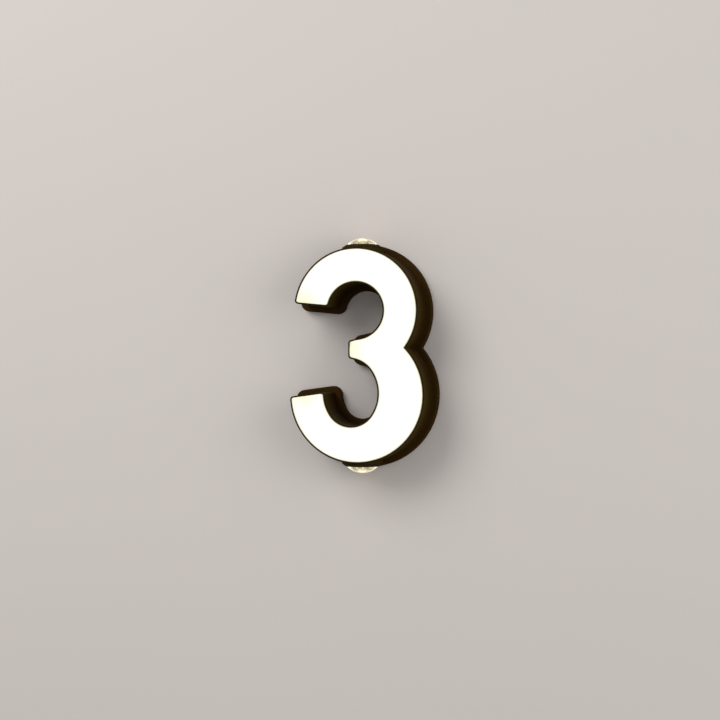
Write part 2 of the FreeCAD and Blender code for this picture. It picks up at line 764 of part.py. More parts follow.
grub_radius = size("set_screw_radius")
grub_length = size("set_screw_length")
grub_screw = hex_socket(
    turned("grub_screw", [(0, 0), (grub_radius, 0), (grub_radius, -grub_length), (0, -grub_length)]),
    size("set_screw_socket"), grub_length / 3)
set_screws = group("set_screws", grub_screw, [
    (on_lobe(lobe, angle, LOBES[lobe][1] + rim_edge - size("screw_fit"), set_screw_distance), radial(angle))
    for lobe, angles in SET_SCREW_ANGLES.items() for angle in angles])


# ---------------------------------------------------------------- plate and lights behind the face

plate_edge = wall_inside - size("plate_gap")
face_lead_x = driver_x - size("driver_lead_pitch")


def plate_notch(end):
    """Room in the plate for a lens boss."""
    low = boss_top[end] - boss_room_depth if end == "top" else boss_top[end]
    return box(f"plate_notch_{end}",
               (boss_room_radius * 2, size("plate_thickness") + 2 * CUT_MARGIN, boss_room_depth),
               (size("lens_x") - boss_room_radius, -plate_front - CUT_MARGIN, low))


lead_hole = cylinder("lead_hole", size("lead_hole_radius"), size("plate_thickness") + 2 * CUT_MARGIN,
                     (face_lead_x, -plate_back + CUT_MARGIN, size("face_lead_z")), OUT_FROM_WALL)
plate_holes = [cylinder(f"plate_hole_{count}", size("plate_hole_radius"),
                        size("plate_thickness") + 2 * CUT_MARGIN, place, OUT_FROM_WALL)
               for count, place in enumerate(lug_places(plate_back - CUT_MARGIN), 1)]
mid_plate = cut("mid_plate", slab("plate_blank", plate_edge, plate_back, plate_front), lead_hole,
                *plate_holes, plate_notch("top"), plate_notch("bottom"))
mid_plate_screws = group("mid_plate_screws", plate_screw, [
    (place, OUT_FROM_WALL) for place in lug_places(plate_front + size("screw_head_height"))])

# the board leaves out the end of the bar, where it would be a thin finger
bar_trim = box("bar_trim", (size("board_bar_margin") - size("bar_end_x"),
                            size("board_thickness") + 2 * CUT_MARGIN, size("upper_lobe_z")),
               (size("bar_end_x"), -board_front - CUT_MARGIN, size("crook_z") / 2))
led_board = cut("led_board", slab("board_blank", -size("board_inset"), plate_front, board_front), bar_trim)


def light_places():
    """Light emitters along the middle of each stroke, a steady step apart."""
    upper_radius = (upper_outer_radius + size("upper_inner_radius")) / 2
    places = [(on_lobe("upper", angle, upper_radius, board_front), -angle) for angle in range(160, -41, -12)]
    bowl_middle = (lower_outer_radius - lower_centre[1] + size("bowl_radius") - size("bowl_z")) / 2
    ring_z = upper_radius - bowl_middle + size("led_ring_growth")
    ring_radius = upper_radius + size("led_ring_growth")
    for angle in range(190, 396, 11):
        turn = math.radians(angle)
        place = ((lower_centre[0] + size("bowl_x")) / 2 + ring_radius * math.cos(turn), -board_front,
                 ring_z + ring_radius * math.sin(turn))
        places.append((place, -angle))
    return places


light = box("light", (size("led_width"), size("led_length"), size("led_height")),
            (-size("led_width") / 2, -size("led_length") / 2, 0))
face_leds = group("face_leds", light, [
    (place, Rotation(Vector(0, 1, 0), angle).multiply(OUT_FROM_WALL)) for place, angle in light_places()])


# ---------------------------------------------------------------- lens, ring and light engine


def make_lens():
    """A plano-convex lens: a flanged disc and a dome cut from a sphere."""
    height = size("dome_height")
    dome_radius = (lens_radius * lens_radius + height * height) / (height * 2)
    rim_height = size("ring_thickness")
    ball = doc.addObject("Part::Sphere", "lens_ball")
    bind(ball, "Radius", dome_radius)
    put(ball, (0, 0, rim_height + height - dome_radius))
    blank = cylinder("lens_blank", lens_radius, rim_height + height - lens_bottom, (0, 0, lens_bottom))
    dome = doc.addObject("Part::MultiCommon", "lens_dome")
    dome.Shapes = [ball, blank]
    disc = cylinder("lens_disc", lens_radius, rim_height - lens_bottom, (0, 0, lens_bottom))
    flange = cylinder("lens_flange", lens_radius + size("lens_flange_width"), size("lens_flange_thickness"),
                      (0, 0, lens_bottom))
    return fuse("lens", dome, disc, flange)


def make_ring():
    """A low conical ring whose skirt sits in the lens seat."""
    inner = lens_radius + size("ring_clearance")
    outer = size("ring_radius")
    skirt = size("seat_radius") - size("screw_fit")
    skirt_bottom = lens_bottom + size("lens_flange_thickness")
    top = size("ring_thickness")
    return turned("lens_ring", [(inner, skirt_bottom), (skirt, skirt_bottom), (skirt, 0), (outer, 0),
                                (outer, size("ring_edge_height")), (inner + size("ring_land"), top),
                                (inner, top)])


def make_cup():
    """Reflector cup with two ears that screw to the shell's ear lugs."""
    funnel = turned("cup_funnel", [(size("cup_throat_radius"), cup_bottom), (size("cup_radius"), cup_bottom),
                                   (size("cup_radius"), cup_top), (size("cup_mouth_radius"), cup_top),
                                   (size("cup_throat_radius"), cup_bottom + size("spot_led_width"))])
    reach = size("ear_reach")
    bar = box("ear_bar", (reach * 2, size("ear_radius") * 2, size("ear_thickness")),
              (-reach, -size("ear_radius"), ear_bottom))
    thickness = size("ear_thickness")
    ends = []
    holes = []
    for side, sign in (("left", -1), ("right", 1)):
        ends.append(cylinder(f"ear_end_{side}", size("ear_radius"), thickness, (reach * sign, 0, ear_bottom)))
        holes.append(cylinder(f"ear_hole_{side}", size("plate_hole_radius"), thickness + 2 * CUT_MARGIN,
                              (reach * sign, 0, ear_bottom - CUT_MARGIN)))
    bore = cylinder("ear_bar_bore", size("cup_radius") - CUT_MARGIN / 2, thickness, (0, 0, ear_bottom))
    ears = cut("ears", fuse("ear_blank", bar, *ends), bore)
    return cut("cup", fuse("cup_with_ears", funnel, ears), *holes, *sink_screw_holes("cup", cup_bottom))


def sink_screw_holes(label, low):
    """Holes for the two screws that clamp heat sink and board to the cup."""
    across = size("sink_slot_pitch") * 1.5
    return [cylinder(f"{label}_screw_hole_{side}", size("small_screw_radius") + size("screw_fit"),
                     sink_screw_length, (across * sign, 0, low - CUT_MARGIN))
            for side, sign in (("left", -1), ("right", 1))]


def make_sink():
    """Heat sink: a round base with straight fins below it."""
    blank = cylinder("sink_blank", size("sink_radius"), size("sink_base") + size("sink_fin_height"),
                     (0, 0, sink_base_bottom - size("sink_fin_height")))
    slots = [box(f"sink_slot_{count}", (size("sink_slot_width"), size("sink_radius") * 2 + 2 * CUT_MARGIN,
                                        size("sink_fin_height") + CUT_MARGIN),
                 (size("sink_slot_pitch") * step - size("sink_slot_width") / 2,
                  -size("sink_radius") - CUT_MARGIN, sink_base_bottom - size("sink_fin_height") - CUT_MARGIN))
             for count, step in enumerate((-1.5, -0.5, 0.5, 1.5), 1)]
    return cut("sink", blank, *slots, *sink_screw_holes("sink", sink_base_bottom))


def make_spot_led():
    """A light emitter: square package with a clear dome."""
    width = size("spot_led_width")
    package = box("spot_led_package", (width, width, size("spot_led_thickness")),
                  (-width / 2, -width / 2, cup_bottom))
    dome = doc.addObject("Part::Sphere", "spot_led_dome")
    bind(dome, "Radius", size("spot_led_dome_radius"))
    put(dome, (0, 0, cup_bottom + size("spot_led_thickness")))
    room = box("spot_led_room", (width, width, width), (-width / 2, -width / 2, cup_bottom))
    top = doc.addObject("Part::MultiCommon", "spot_led_top_half")
    top.Shapes = [dome, room]
    return fuse("spot_led", package, top)


seal_outer = lens_radius + size("lens_seal_thickness")
seal_inner = seal_outer - size("lens_seal_width")
lens_seal = turned("lens_seal", [(seal_inner, seat_floor), (seal_outer, seat_floor),
                                 (seal_outer, lens_bottom), (seal_inner, lens_bottom)])
spot_board_disc = cylinder("spot_board_disc", size("spot_board_radius"), size("spot_board_thickness"),
                           (0, 0, spot_board_bottom))
spot_board = cut("spot_board", spot_board_disc, *sink_screw_holes("spot_board", spot_board_bottom))
spot_pieces = {"lens_ring": make_ring(), "lens": make_lens(), "lens_seal": lens_seal, "lens_cup": make_cup(),
               "spot_board": spot_board, "spot_led": make_spot_led(), "heat_sink": make_sink()}
spot_nodes = [group(f"{name}_{end}", piece, [spot_place(end, 0)])
              for name, piece in spot_pieces.items() for end in boss_top]


def flipped(end):
    return DOWN if end == "top" else UP


for end in boss_top:
    sink_across = size("sink_slot_pitch") * 1.5
    head_low = sink_base_bottom - size("small_head_height")
    screws = [group(f"spot_ear_screws_{end}", ear_screw, [
        (spot_place(end, ear_bottom - size("screw_head_height"), size("ear_reach") * sign)[0], flipped(end))
        for sign in (-1, 1)])]
    screws.append(group(f"spot_sink_screws_{end}", sink_screw, [
        (spot_place(end, head_low, sink_across * sign)[0], flipped(end)) for sign in (-1, 1)]))
    both = doc.addObject("Part::Compound", f"spot_screws_{end}")
    both.Links = screws
    spot_nodes.append(both)


# ---------------------------------------------------------------- wiring on the tray

flange_height = size("grommet_flange")
web_front = flange_height + size("entry_web")
grommet_front = web_front + flange_height
cable_radius, neck_radius, flange_radius = (
    size("cable_radius"), size("grommet_neck_radius"), size("grommet_flange_radius"))
cable_grommet = turned("cable_grommet", [
    (cable_radius, 0), (flange_radius, 0), (flange_radius, flange_height), (neck_radius, flange_height),
    (neck_radius, web_front), (flange_radius, web_front), (flange_radius, grommet_front),
    (cable_radius, grommet_front)])
put(cable_grommet, (entry_x, 0, entry_z), OUT_FROM_WALL)

tag_back = floor_front + size("earth_pad_height")
tag_front = tag_back + size("earth_tag_thickness")
tag_place = (earth_x, -tag_back, earth_z)
tag_ring = cylinder("tag_ring", size("earth_pad_radius"), size("earth_tag_thickness"), tag_place,
                    OUT_FROM_WALL)
tag_tail = box("tag_tail", (size("earth_tag_length"), size("earth_tag_thickness"), size("earth_tag_width")),
               (earth_x - size("earth_tag_length"), -tag_front,
                earth_z - size("earth_tag_width") / 2))
tag_hole = cylinder("tag_hole", size("plate_hole_radius"), size("earth_tag_thickness") + 2 * CUT_MARGIN,
                    (earth_x, -tag_back + CUT_MARGIN, earth_z), OUT_FROM_WALL)
earth_tag = cut("earth_tag", fuse("tag_blank", tag_ring, tag_tail), tag_hole)
earth_screw = group("earth_screw", earth_machine_screw, [
    ((earth_x, -tag_front - size("screw_head_height"), earth_z), OUT_FROM_WALL)])

block_back = floor_front + size("block_pad_height")
block_front = block_back + size("block_height")
way_distance = block_back + size("block_height") * 0.4
way_sides = {"live": -0.5, "neutral": 0.5}
way_well_offset = size("cage_length") / 3
clamp_screw = pan_screw("clamp_screw", size("small_screw_radius"), size("small_head_radius"),
                        size("small_head_height"), size("cage_height") / 3)


def way_x(side):
    return size("block_x") + size("way_pitch") * side


def make_terminal_block():
    blank = box("block_blank", (size("block_width"), size("block_height"), size("block_length")),
                (size("block_x") - size("block_width") / 2, -block_front,
                 size("block_z") - size("block_length") / 2))
    slot_width = size("cage_width") + size("cage_clearance") * 2
    slot_height = size("cage_height") + size("cage_clearance") * 2
    cuts = []
    for name, side in way_sides.items():
        cuts.append(box(f"{name}_slot", (slot_width, slot_height, size("block_length") + 2 * CUT_MARGIN),
                        (way_x(side) - slot_width / 2, -way_distance - slot_height / 2,
                         size("block_z") - size("block_length") / 2 - CUT_MARGIN)))
        cuts.append(cylinder(f"{name}_well", size("small_head_radius") + size("cage_clearance"),
                             block_front - way_distance + CUT_MARGIN,
                             (way_x(side), -way_distance, size("block_z") + way_well_offset), OUT_FROM_WALL))
    cuts.append(cylinder("block_screw_hole", size("plate_hole_radius"), size("block_height") + 2 * CUT_MARGIN,
                         (size("block_x"), -block_back + CUT_MARGIN, size("block_z")), OUT_FROM_WALL))
    cuts.append(cylinder("block_screw_well", size("screw_head_radius") + size("cage_clearance"),
                         size("screw_head_height") * 2,
                         (size("block_x"), -block_front + size("screw_head_height") * 2 - CUT_MARGIN,
                          size("block_z")), OUT_FROM_WALL))
    return cut("terminal_block", blank, *cuts)


def make_terminal_clamps():
    """Brass cage and clamping screw of each way."""
    parts = []
    for name, side in way_sides.items():
        cage = box(f"{name}_cage_blank", (size("cage_width"), size("cage_height"), size("cage_length")),
                   (way_x(side) - size("cage_width") / 2, -way_distance - size("cage_height") / 2,
                    size("block_z") - size("cage_length") / 2))
        bore = cylinder(f"{name}_cage_bore", size("cage_bore_radius"), size("cage_length") + 2 * CUT_MARGIN,
                        (way_x(side), -way_distance, size("block_z") - size("cage_length") / 2 - CUT_MARGIN))
        tap = cylinder(f"{name}_cage_tap", size("small_screw_radius") + size("screw_fit"),
                       size("cage_height"), (way_x(side), -way_distance, size("block_z") + way_well_offset),
                       OUT_FROM_WALL)
        parts.append(cut(f"{name}_cage", cage, bore, tap))
    head_front = way_distance + size("cage_height") / 2 + size("cage_clearance") + size("small_head_height")
    parts.append(group("clamp_screws", clamp_screw, [
        ((way_x(side), -head_front, size("block_z") + way_well_offset), OUT_FROM_WALL)
        for side in way_sides.values()]))
    made = doc.addObject("Part::Compound", "terminal_clamps")
    made.Links = parts
    return made


terminal_block = make_terminal_block()
terminal_clamps = make_terminal_clamps()
block_screw_front = block_front - size("screw_head_height") + CUT_MARGIN
terminal_block_screw = group("terminal_block_screw", block_screw, [
    ((size("block_x"), -block_screw_front, size("block_z")), OUT_FROM_WALL)])

driver_back = floor_front + size("driver_pad_thickness")
lid_back = driver_back + size("driver_height")
lid_front = lid_back + size("driver_lid_thickness")
driver_low_z = size("driver_top_z") - size("driver_length")


def driver_box(label, inset, back, front):
    """A block over the driver's footprint with rounded corners, drawn in by the inset."""
    inset = number_or_size(inset)
    made = box(label + "_square", (size("driver_width") - inset * 2, number_or_size(front) - back,
                                   size("driver_length") - inset * 2),
               (driver_x - size("driver_width") / 2 + inset, -number_or_size(front),
                driver_low_z + inset))
    doc.recompute()
    corners = [index for index, edge in enumerate(made.Shape.Edges, 1)
               if edge.BoundBox.XLength < 1e-6 and edge.BoundBox.ZLength < 1e-6]
    radius = size("driver_corner_radius").number - inset.number
    rounded = doc.addObject("Part::Fillet", label)
    rounded.Base = made
    rounded.Edges = [(index, radius, radius) for index in corners]
    return rounded


driver_case = cut("driver_case", driver_box("driver_shell", 0, driver_back, lid_back),
                  driver_box("driver_room", size("driver_wall"), driver_back + size("driver_wall"),
                             lid_back + CUT_MARGIN))
driver_lid = driver_box("driver_lid", 0, lid_back, lid_front)
driver_pad = driver_box("driver_pad", size("driver_wall"), floor_front, driver_back)


# ---------------------------------------------------------------- internal leads


def arc_middle(corner, into, out, trim, half_turn):
    """The middle of the arc that rounds a corner: it lies between the corner and the centre."""
    radius = trim / math.tan(half_turn)
    towards_centre = (out - into).normalize()
    return corner + towards_centre * (radius / math.cos(half_turn) - radius)


def lead(label, points):
    """A round lead along straight runs joined by tangent arcs, each as large as its runs allow."""
    spots = [Vector(*(number_of(value) for value in point)) for point in points]
    edges = []
    radii = []
    at = spots[0]
    for before, corner, after in zip(spots, spots[1:], spots[2:]):
        into = corner - before
        out = after - corner
        trim = 0.45 * min(into.Length, out.Length)
        half_turn = into.getAngle(out) / 2
        into.normalize()
        out.normalize()
        start = corner - into * trim
        finish = corner + out * trim
        middle = arc_middle(corner, into, out, trim, half_turn)
        radii.append(trim / math.tan(half_turn))
        edges.append(Part.LineSegment(at, start).toShape())
        edges.append(Part.Arc(start, middle, finish).toShape())
        at = finish
    edges.append(Part.LineSegment(at, spots[-1]).toShape())
    path = Part.Wire(edges)
    section = Part.Wire(Part.Circle(spots[0], spots[1] - spots[0], size("lead_radius").number).toShape())
    made = doc.addObject("Part::Feature", label)
    made.Shape = path.makePipeShell([section], True, False)
    print(f"{label}: length {path.Length:.1f}, least bend radius {min(radii):.1f}")
    return made


block_low_z = size("block_z") - size("block_length") / 2
straight_run = 4.5  # how far an input lead runs straight out of the block and into the driver
driver_middle = driver_back + size("driver_height") / 2
input_leads = []
for name, side in way_sides.items():
    way = way_x(side)
    socket_x = driver_x - size("driver_width") / 5 + size("way_pitch") * side
    input_leads.append(lead(f"{name}_lead", [
        (way, -way_distance, block_low_z), (way, -way_distance, block_low_z - straight_run),
        (socket_x, -driver_middle, size("driver_top_z") + straight_run),
        (socket_x, -driver_middle, size("driver_top_z"))]))
driver_input_leads = doc.addObject("Part::Compound", "driver_input_leads")
driver_input_leads.Links = input_leads

driver_end = -driver_middle, driver_low_z
turn_z = driver_low_z - 8  # where the face lead turns back up behind the plate
face_leads = lead("face_leads", [
    (face_lead_x, *driver_end), (face_lead_x, -driver_middle, turn_z), (face_lead_x, -25, turn_z),
    (face_lead_x, -27, size("face_lead_z")), (face_lead_x, -plate_front, size("face_lead_z"))])

spot_board_middle = cup_bottom - size("spot_board_thickness") / 2
spot_lead_reach = size("spot_board_radius") + size("cup_clearance")
spot_lead_ends = {end: spot_place(end, spot_board_middle, spot_lead_reach)[0] for end in boss_top}
spot_leads_bottom = lead("spot_leads_bottom", [
    (driver_x, *driver_end), (driver_x, -driver_middle, -58), (36, -15, -68), (28, -21, -77),
    (18, -25, -82), spot_lead_ends["bottom"]])
top_lead_x = driver_x + size("driver_lead_pitch")
spot_leads_top = lead("spot_leads_top", [
    (top_lead_x, *driver_end), (top_lead_x, -driver_middle, -58), (top_lead_x, -22, -58),
    (43, -22, -40), (41, -22, -20),
    (34, -22, -2), (31, -22, 14), (36, -22, 30), (39, -22, 48), (33, -23, 66), (21, -25, 78),
    spot_lead_ends["top"]])

NODES = [base_tray, wall_gasket, shell_seal, housing_shell, face_diffuser, face_seal, set_screws, mid_plate,
         mid_plate_screws, led_board, face_leds, *spot_nodes, cable_grommet, earth_tag, earth_screw,
         terminal_block, terminal_clamps, terminal_block_screw, driver_case, driver_lid, driver_pad,
         driver_input_leads, face_leads, spot_leads_top, spot_leads_bottom]

doc.recompute()
for item in doc.Objects:
    if "Invalid" in item.State or "Error" in item.State:
        raise RuntimeError(f"{item.Label} did not recompute: {item.State}")
os.makedirs("parts", exist_ok=True)
for node in NODES:
    shape = node.Shape
    if shape.isNull() or not shape.isValid() or not shape.Solids:
        raise RuntimeError(f"{node.Label} has no valid solid")
for node in NODES:
    node.Shape.exportStep(f"parts/{node.Label}.step")
print(f"{len(NODES)} nodes written")
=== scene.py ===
"""Dresses the illuminated house number: a numeral three with a glowing face and two domed spot lenses.

Metres. X is right and Z is up as seen from the street, the wall is the plane Y = 0 and the face
looks along -Y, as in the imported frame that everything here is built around.
"""

import json
import math

import bpy
import bmesh
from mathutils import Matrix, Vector
from mathutils.kdtree import KDTree

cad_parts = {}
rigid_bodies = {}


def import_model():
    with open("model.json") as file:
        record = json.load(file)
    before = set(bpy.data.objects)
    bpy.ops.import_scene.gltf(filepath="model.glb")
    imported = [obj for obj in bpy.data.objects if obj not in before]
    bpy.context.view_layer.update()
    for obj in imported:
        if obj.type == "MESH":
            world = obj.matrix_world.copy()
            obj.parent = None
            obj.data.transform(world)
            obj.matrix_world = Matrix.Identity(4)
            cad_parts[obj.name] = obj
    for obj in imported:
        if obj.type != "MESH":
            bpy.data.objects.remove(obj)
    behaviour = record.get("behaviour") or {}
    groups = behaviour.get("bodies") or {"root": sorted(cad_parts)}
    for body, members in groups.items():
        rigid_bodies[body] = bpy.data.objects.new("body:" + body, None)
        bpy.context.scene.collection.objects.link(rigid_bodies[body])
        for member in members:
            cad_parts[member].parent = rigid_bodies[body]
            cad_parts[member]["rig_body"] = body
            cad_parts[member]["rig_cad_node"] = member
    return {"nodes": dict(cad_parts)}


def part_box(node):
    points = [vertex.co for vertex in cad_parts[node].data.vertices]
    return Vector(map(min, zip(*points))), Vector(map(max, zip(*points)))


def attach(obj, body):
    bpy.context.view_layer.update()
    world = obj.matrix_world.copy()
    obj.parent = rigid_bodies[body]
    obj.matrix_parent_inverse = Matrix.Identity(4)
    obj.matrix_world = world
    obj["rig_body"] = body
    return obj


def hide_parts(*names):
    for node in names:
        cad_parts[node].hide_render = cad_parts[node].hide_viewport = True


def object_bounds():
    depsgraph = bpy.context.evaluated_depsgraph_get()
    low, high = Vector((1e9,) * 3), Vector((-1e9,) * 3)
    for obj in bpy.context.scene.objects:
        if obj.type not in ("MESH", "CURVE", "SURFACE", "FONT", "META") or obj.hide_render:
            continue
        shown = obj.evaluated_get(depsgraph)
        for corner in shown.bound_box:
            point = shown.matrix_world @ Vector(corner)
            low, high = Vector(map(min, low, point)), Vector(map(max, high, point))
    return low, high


bl_info = {
    "name": "Illuminated House Number",
    "version": (1, 0, 0),
    "blender": (4, 5, 0),
    "location": "3D View > Sidebar > House Number",
    "description": "Dresses a lit house number and sets it in a plain studio",
    "category": "Object",
}

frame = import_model()
NODES = frame["nodes"]
CAD_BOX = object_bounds()
ENDS = ("top", "bottom")
MM = 0.001

# middles of the three ends of the strokes, where the glow of the face turns creamier
STROKE_ENDS = ((-0.0490, -0.050, 0.0485), (-0.0490, -0.050, -0.0350), (-0.0065, -0.050, 0.0053))

# how the lens is shaped, apart from its sizes
DOME_ROWS = 96
FLUTE_SIDES = 4  # columns of the dome's mesh for each flute
FLUTE_REACH = 0.34  # share of the dome's height
FLUTE_DRAW = 0.965
POCKET_TAPER = 0.7

# ribs round the grommet's mouth, from outside in: margin, wall, depth
GROMMET_RIBS = ((0.55 * MM, 0.08 * MM, -0.45 * MM), (0.40 * MM, 0.08 * MM, 0.45 * MM),
                (0.35 * MM, 0.08 * MM, -0.30 * MM))

# the studio
WALL_SIZE = 6
WALL_GAP = 0.3 * MM  # behind the back of the sign
FLOOR_SIZE = 8
LAMP_SIZE = 1.2
LAMPS = (("key_lamp", "key_power", (-0.9, -1.5, 1.1)), ("fill_lamp", "fill_power", (1.4, -1.1, 0.2)),
         ("back_lamp", "back_power", (0, 1.6, 0.5)))


# ---------------------------------------------------------------- sizes and colours


class FaceSettings(bpy.types.PropertyGroup):
    """The opal face and how it glows."""

    glow: bpy.props.FloatVectorProperty(
        name="Glow", description="Colour of the lit face away from its edge",
        subtype="COLOR", size=4, min=0, max=1, default=(0.95, 0.95, 0.93, 1))
    edge_glow: bpy.props.FloatVectorProperty(
        name="Edge glow", description="Creamier colour of the lit face along its edge",
        subtype="COLOR", size=4, min=0, max=1, default=(0.94, 0.885, 0.58, 1))
    strength: bpy.props.FloatProperty(
        name="Strength", description="How brightly the face glows", min=0, default=0.85)
    edge_band: bpy.props.FloatProperty(
        name="Edge band", description="Width of the creamier band along the edge",
        subtype="DISTANCE", min=0, default=3.2 * MM)
    end_band: bpy.props.FloatProperty(
        name="End band", description="How far the cream reaches at the ends of the strokes",
        subtype="DISTANCE", min=0, default=18 * MM)
    # painted shade: a dim line along the sheet's edge, where the rim shadows it
    edge_shade: bpy.props.FloatProperty(
        name="Edge shade", description="Width of the dim line along the edge of the sheet",
        subtype="DISTANCE", min=0, default=0.8 * MM)
    edge_round: bpy.props.FloatProperty(
        name="Edge round", description="Rounding of the sheet's front edge",
        subtype="DISTANCE", min=0, default=0.3 * MM)
    cell: bpy.props.FloatProperty(
        name="Cell", description="Size of the face's mesh cells", subtype="DISTANCE",
        min=0.5 * MM, default=3 * MM)


class CoatSettings(bpy.types.PropertyGroup):
    """The dark powder coat of the shell and the tray."""

    # painted shade: the rim is the same coat as the rest, painted darker
    rim: bpy.props.FloatVectorProperty(
        name="Rim", description="Colour of the rim that holds the face",
        subtype="COLOR", size=4, min=0, max=1, default=(0.014, 0.008, 0.0005, 1))
    # painted light: the coat beside the face is painted lighter, as light from the face spilling onto it
    front: bpy.props.FloatVectorProperty(
        name="Front", description="Colour of the coat beside the face",
        subtype="COLOR", size=4, min=0, max=1, default=(0.048, 0.029, 0.0005, 1))
    # the coat towards the wall, where the painted light from the face has faded out
    back: bpy.props.FloatVectorProperty(
        name="Back", description="Colour of the coat towards the wall",
        subtype="COLOR", size=4, min=0, max=1, default=(0.027, 0.0125, 0.0008, 1))
    tray: bpy.props.FloatVectorProperty(
        name="Tray", description="Colour of the coat on the wall tray",
        subtype="COLOR", size=4, min=0, max=1, default=(0.032, 0.015, 0.0012, 1))
    clouds: bpy.props.FloatProperty(
        name="Clouds", description="Size of the clouds in the coat's colour", subtype="DISTANCE", min=0,
        default=16 * MM)
    grain: bpy.props.FloatProperty(
        name="Grain", description="Size of the coat's grain", subtype="DISTANCE", min=0,
        default=0.45 * MM)
    rub: bpy.props.FloatProperty(
        name="Rub", description="Width of the rubbed band along the front edge", subtype="DISTANCE",
        min=0, default=1.1 * MM)
    dust: bpy.props.FloatProperty(
        name="Dust", description="How much dust lies on what faces up", min=0, max=1, default=0.05)


class LensSettings(bpy.types.PropertyGroup):
    """The clear domed lenses."""

    body_radius: bpy.props.FloatProperty(
        name="Body radius", description="Radius of the dome where it leaves the ring",
        subtype="DISTANCE", min=0, default=14 * MM)
    dome_height: bpy.props.FloatProperty(
        name="Dome height", description="Height of the dome over the ring",
        subtype="DISTANCE", min=0, default=6.1 * MM)
    flange: bpy.props.FloatProperty(
        name="Flange", description="Thickness of the flange that the ring holds",
        subtype="DISTANCE", min=0, default=1.3 * MM)
    pocket_radius: bpy.props.FloatProperty(
        name="Pocket radius", description="Radius of the pocket over the light emitter",
        subtype="DISTANCE", min=0, default=4.2 * MM)
    pocket_depth: bpy.props.FloatProperty(
        name="Pocket depth", description="Depth of the pocket over the light emitter",
        subtype="DISTANCE", min=0, default=5.5 * MM)
    flutes: bpy.props.IntProperty(
        name="Flutes", description="Moulded flutes round the foot of the dome", min=3, default=24)
    tint: bpy.props.FloatVectorProperty(
        name="Tint", description="Colour of the clear optic", subtype="COLOR", size=4, min=0,
        max=1, default=(0.95, 0.98, 0.92, 1))
    # painted glow: the dome is no lamp, its emission stands in for the emitter's light in the glass,
    # with a painted highlight over the crown
    crown_painted_glow: bpy.props.FloatVectorProperty(
        name="Crown glow", description="Glow of the lit dome over its crown", subtype="COLOR",
        size=4, min=0, max=1, default=(0.84, 0.75, 0.54, 1))
    # painted glow at the foot of the dome, dimmer than at the crown
    foot_painted_glow: bpy.props.FloatVectorProperty(
        name="Foot glow", description="Glow of the lit dome at its foot", subtype="COLOR",
        size=4, min=0, max=1, default=(0.10, 0.09, 0.05, 1))
    # strength of the domes' painted glow
    strength: bpy.props.FloatProperty(
        name="Strength", description="How brightly the domes glow", min=0, default=0.74)


class StageSettings(bpy.types.PropertyGroup):
    """Wall, floor, lamps and camera."""

    wall: bpy.props.FloatVectorProperty(
        name="Wall", description="Colour of the wall and the floor",
        subtype="COLOR", size=4, min=0, max=1, default=(0.56, 0.52, 0.49, 1))
    ambient: bpy.props.FloatProperty(
        name="Ambient", description="Even light from all round", min=0, default=0.5)
    key_power: bpy.props.FloatProperty(
        name="Key lamp", description="Power of the large lamp at the upper left",
        subtype="POWER", min=0, default=26)
    fill_power: bpy.props.FloatProperty(
        name="Fill lamp", description="Power of the large lamp at the right",
        subtype="POWER", min=0, default=9)
    back_power: bpy.props.FloatProperty(
        name="Back lamp", description="Power of the lamp that shows the back of the tray",
        subtype="POWER", min=0, default=8)
    floor_drop: bpy.props.FloatProperty(
        name="Floor drop", description="How far the floor lies under the sign's middle",
        subtype="DISTANCE", min=0, default=0.6)
    camera_place: bpy.props.FloatVectorProperty(
        name="Camera place", description="Where the photograph was taken from",
        subtype="TRANSLATION", default=(0.32265, -1.4340, -0.0167))
    camera_turn: bpy.props.FloatProperty(
        name="Camera turn", description="How far the camera is turned from square to the wall",
        subtype="ANGLE", default=math.radians(13))
    camera_rise: bpy.props.FloatProperty(
        name="Camera rise", description="How far the camera looks up", subtype="ANGLE",
        default=math.radians(0.506))
    lens_length: bpy.props.FloatProperty(
        name="Focal length", description="Focal length over a 36 mm sensor", min=1, default=78.95)


# ---------------------------------------------------------------- tools for meshes


def deselect():
    """Leaves object mode's selection empty."""
    if bpy.context.object and bpy.context.object.mode != "OBJECT":
        bpy.ops.object.mode_set(mode="OBJECT")
    bpy.ops.object.select_all(action="DESELECT")


def choose(piece):
    """Makes one object the selected and active one."""
    deselect()
    piece.select_set(True)
    bpy.context.view_layer.objects.active = piece


def new_piece(name):
    """Names the object that an operator has just added."""
    piece = bpy.context.object
    piece.name = name
    piece.data.name = name
    return piece


def merged_copy(node, name):
    """A copy of a CAD node's mesh with its triangles joined up, and flat areas as single faces."""
    piece = NODES[node].copy()
    piece.data = NODES[node].data.copy()
    piece.parent = None
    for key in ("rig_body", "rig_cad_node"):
        if key in piece:
            del piece[key]
    bpy.context.scene.collection.objects.link(piece)
    piece.name = name
    piece.data.name = name
    choose(piece)
    bpy.ops.object.mode_set(mode="EDIT")
    bpy.ops.mesh.select_all(action="SELECT")
    bpy.ops.mesh.remove_doubles(threshold=1e-6)
    bpy.ops.mesh.select_all(action="SELECT")
    bpy.ops.mesh.dissolve_limited(angle_limit=math.radians(0.5))
    bpy.ops.mesh.customdata_custom_splitnormals_clear()
    bpy.ops.object.mode_set(mode="OBJECT")
    return piece


def select_parts(piece, kind, test):
    """In edit mode, selects the vertices, edges or faces that pass a test, and nothing else."""
    bpy.ops.mesh.select_mode(type=kind)
    bpy.ops.mesh.select_all(action="DESELECT")
    mesh = bmesh.from_edit_mesh(piece.data)
    found = 0
    for part in {"VERT": mesh.verts, "EDGE": mesh.edges, "FACE": mesh.faces}[kind]:
        if test(part):
            part.select_set(True)
            found += 1
    mesh.select_flush_mode()
    bmesh.update_edit_mesh(piece.data)
    if not found:
        raise RuntimeError(f"nothing to select on {piece.name}")


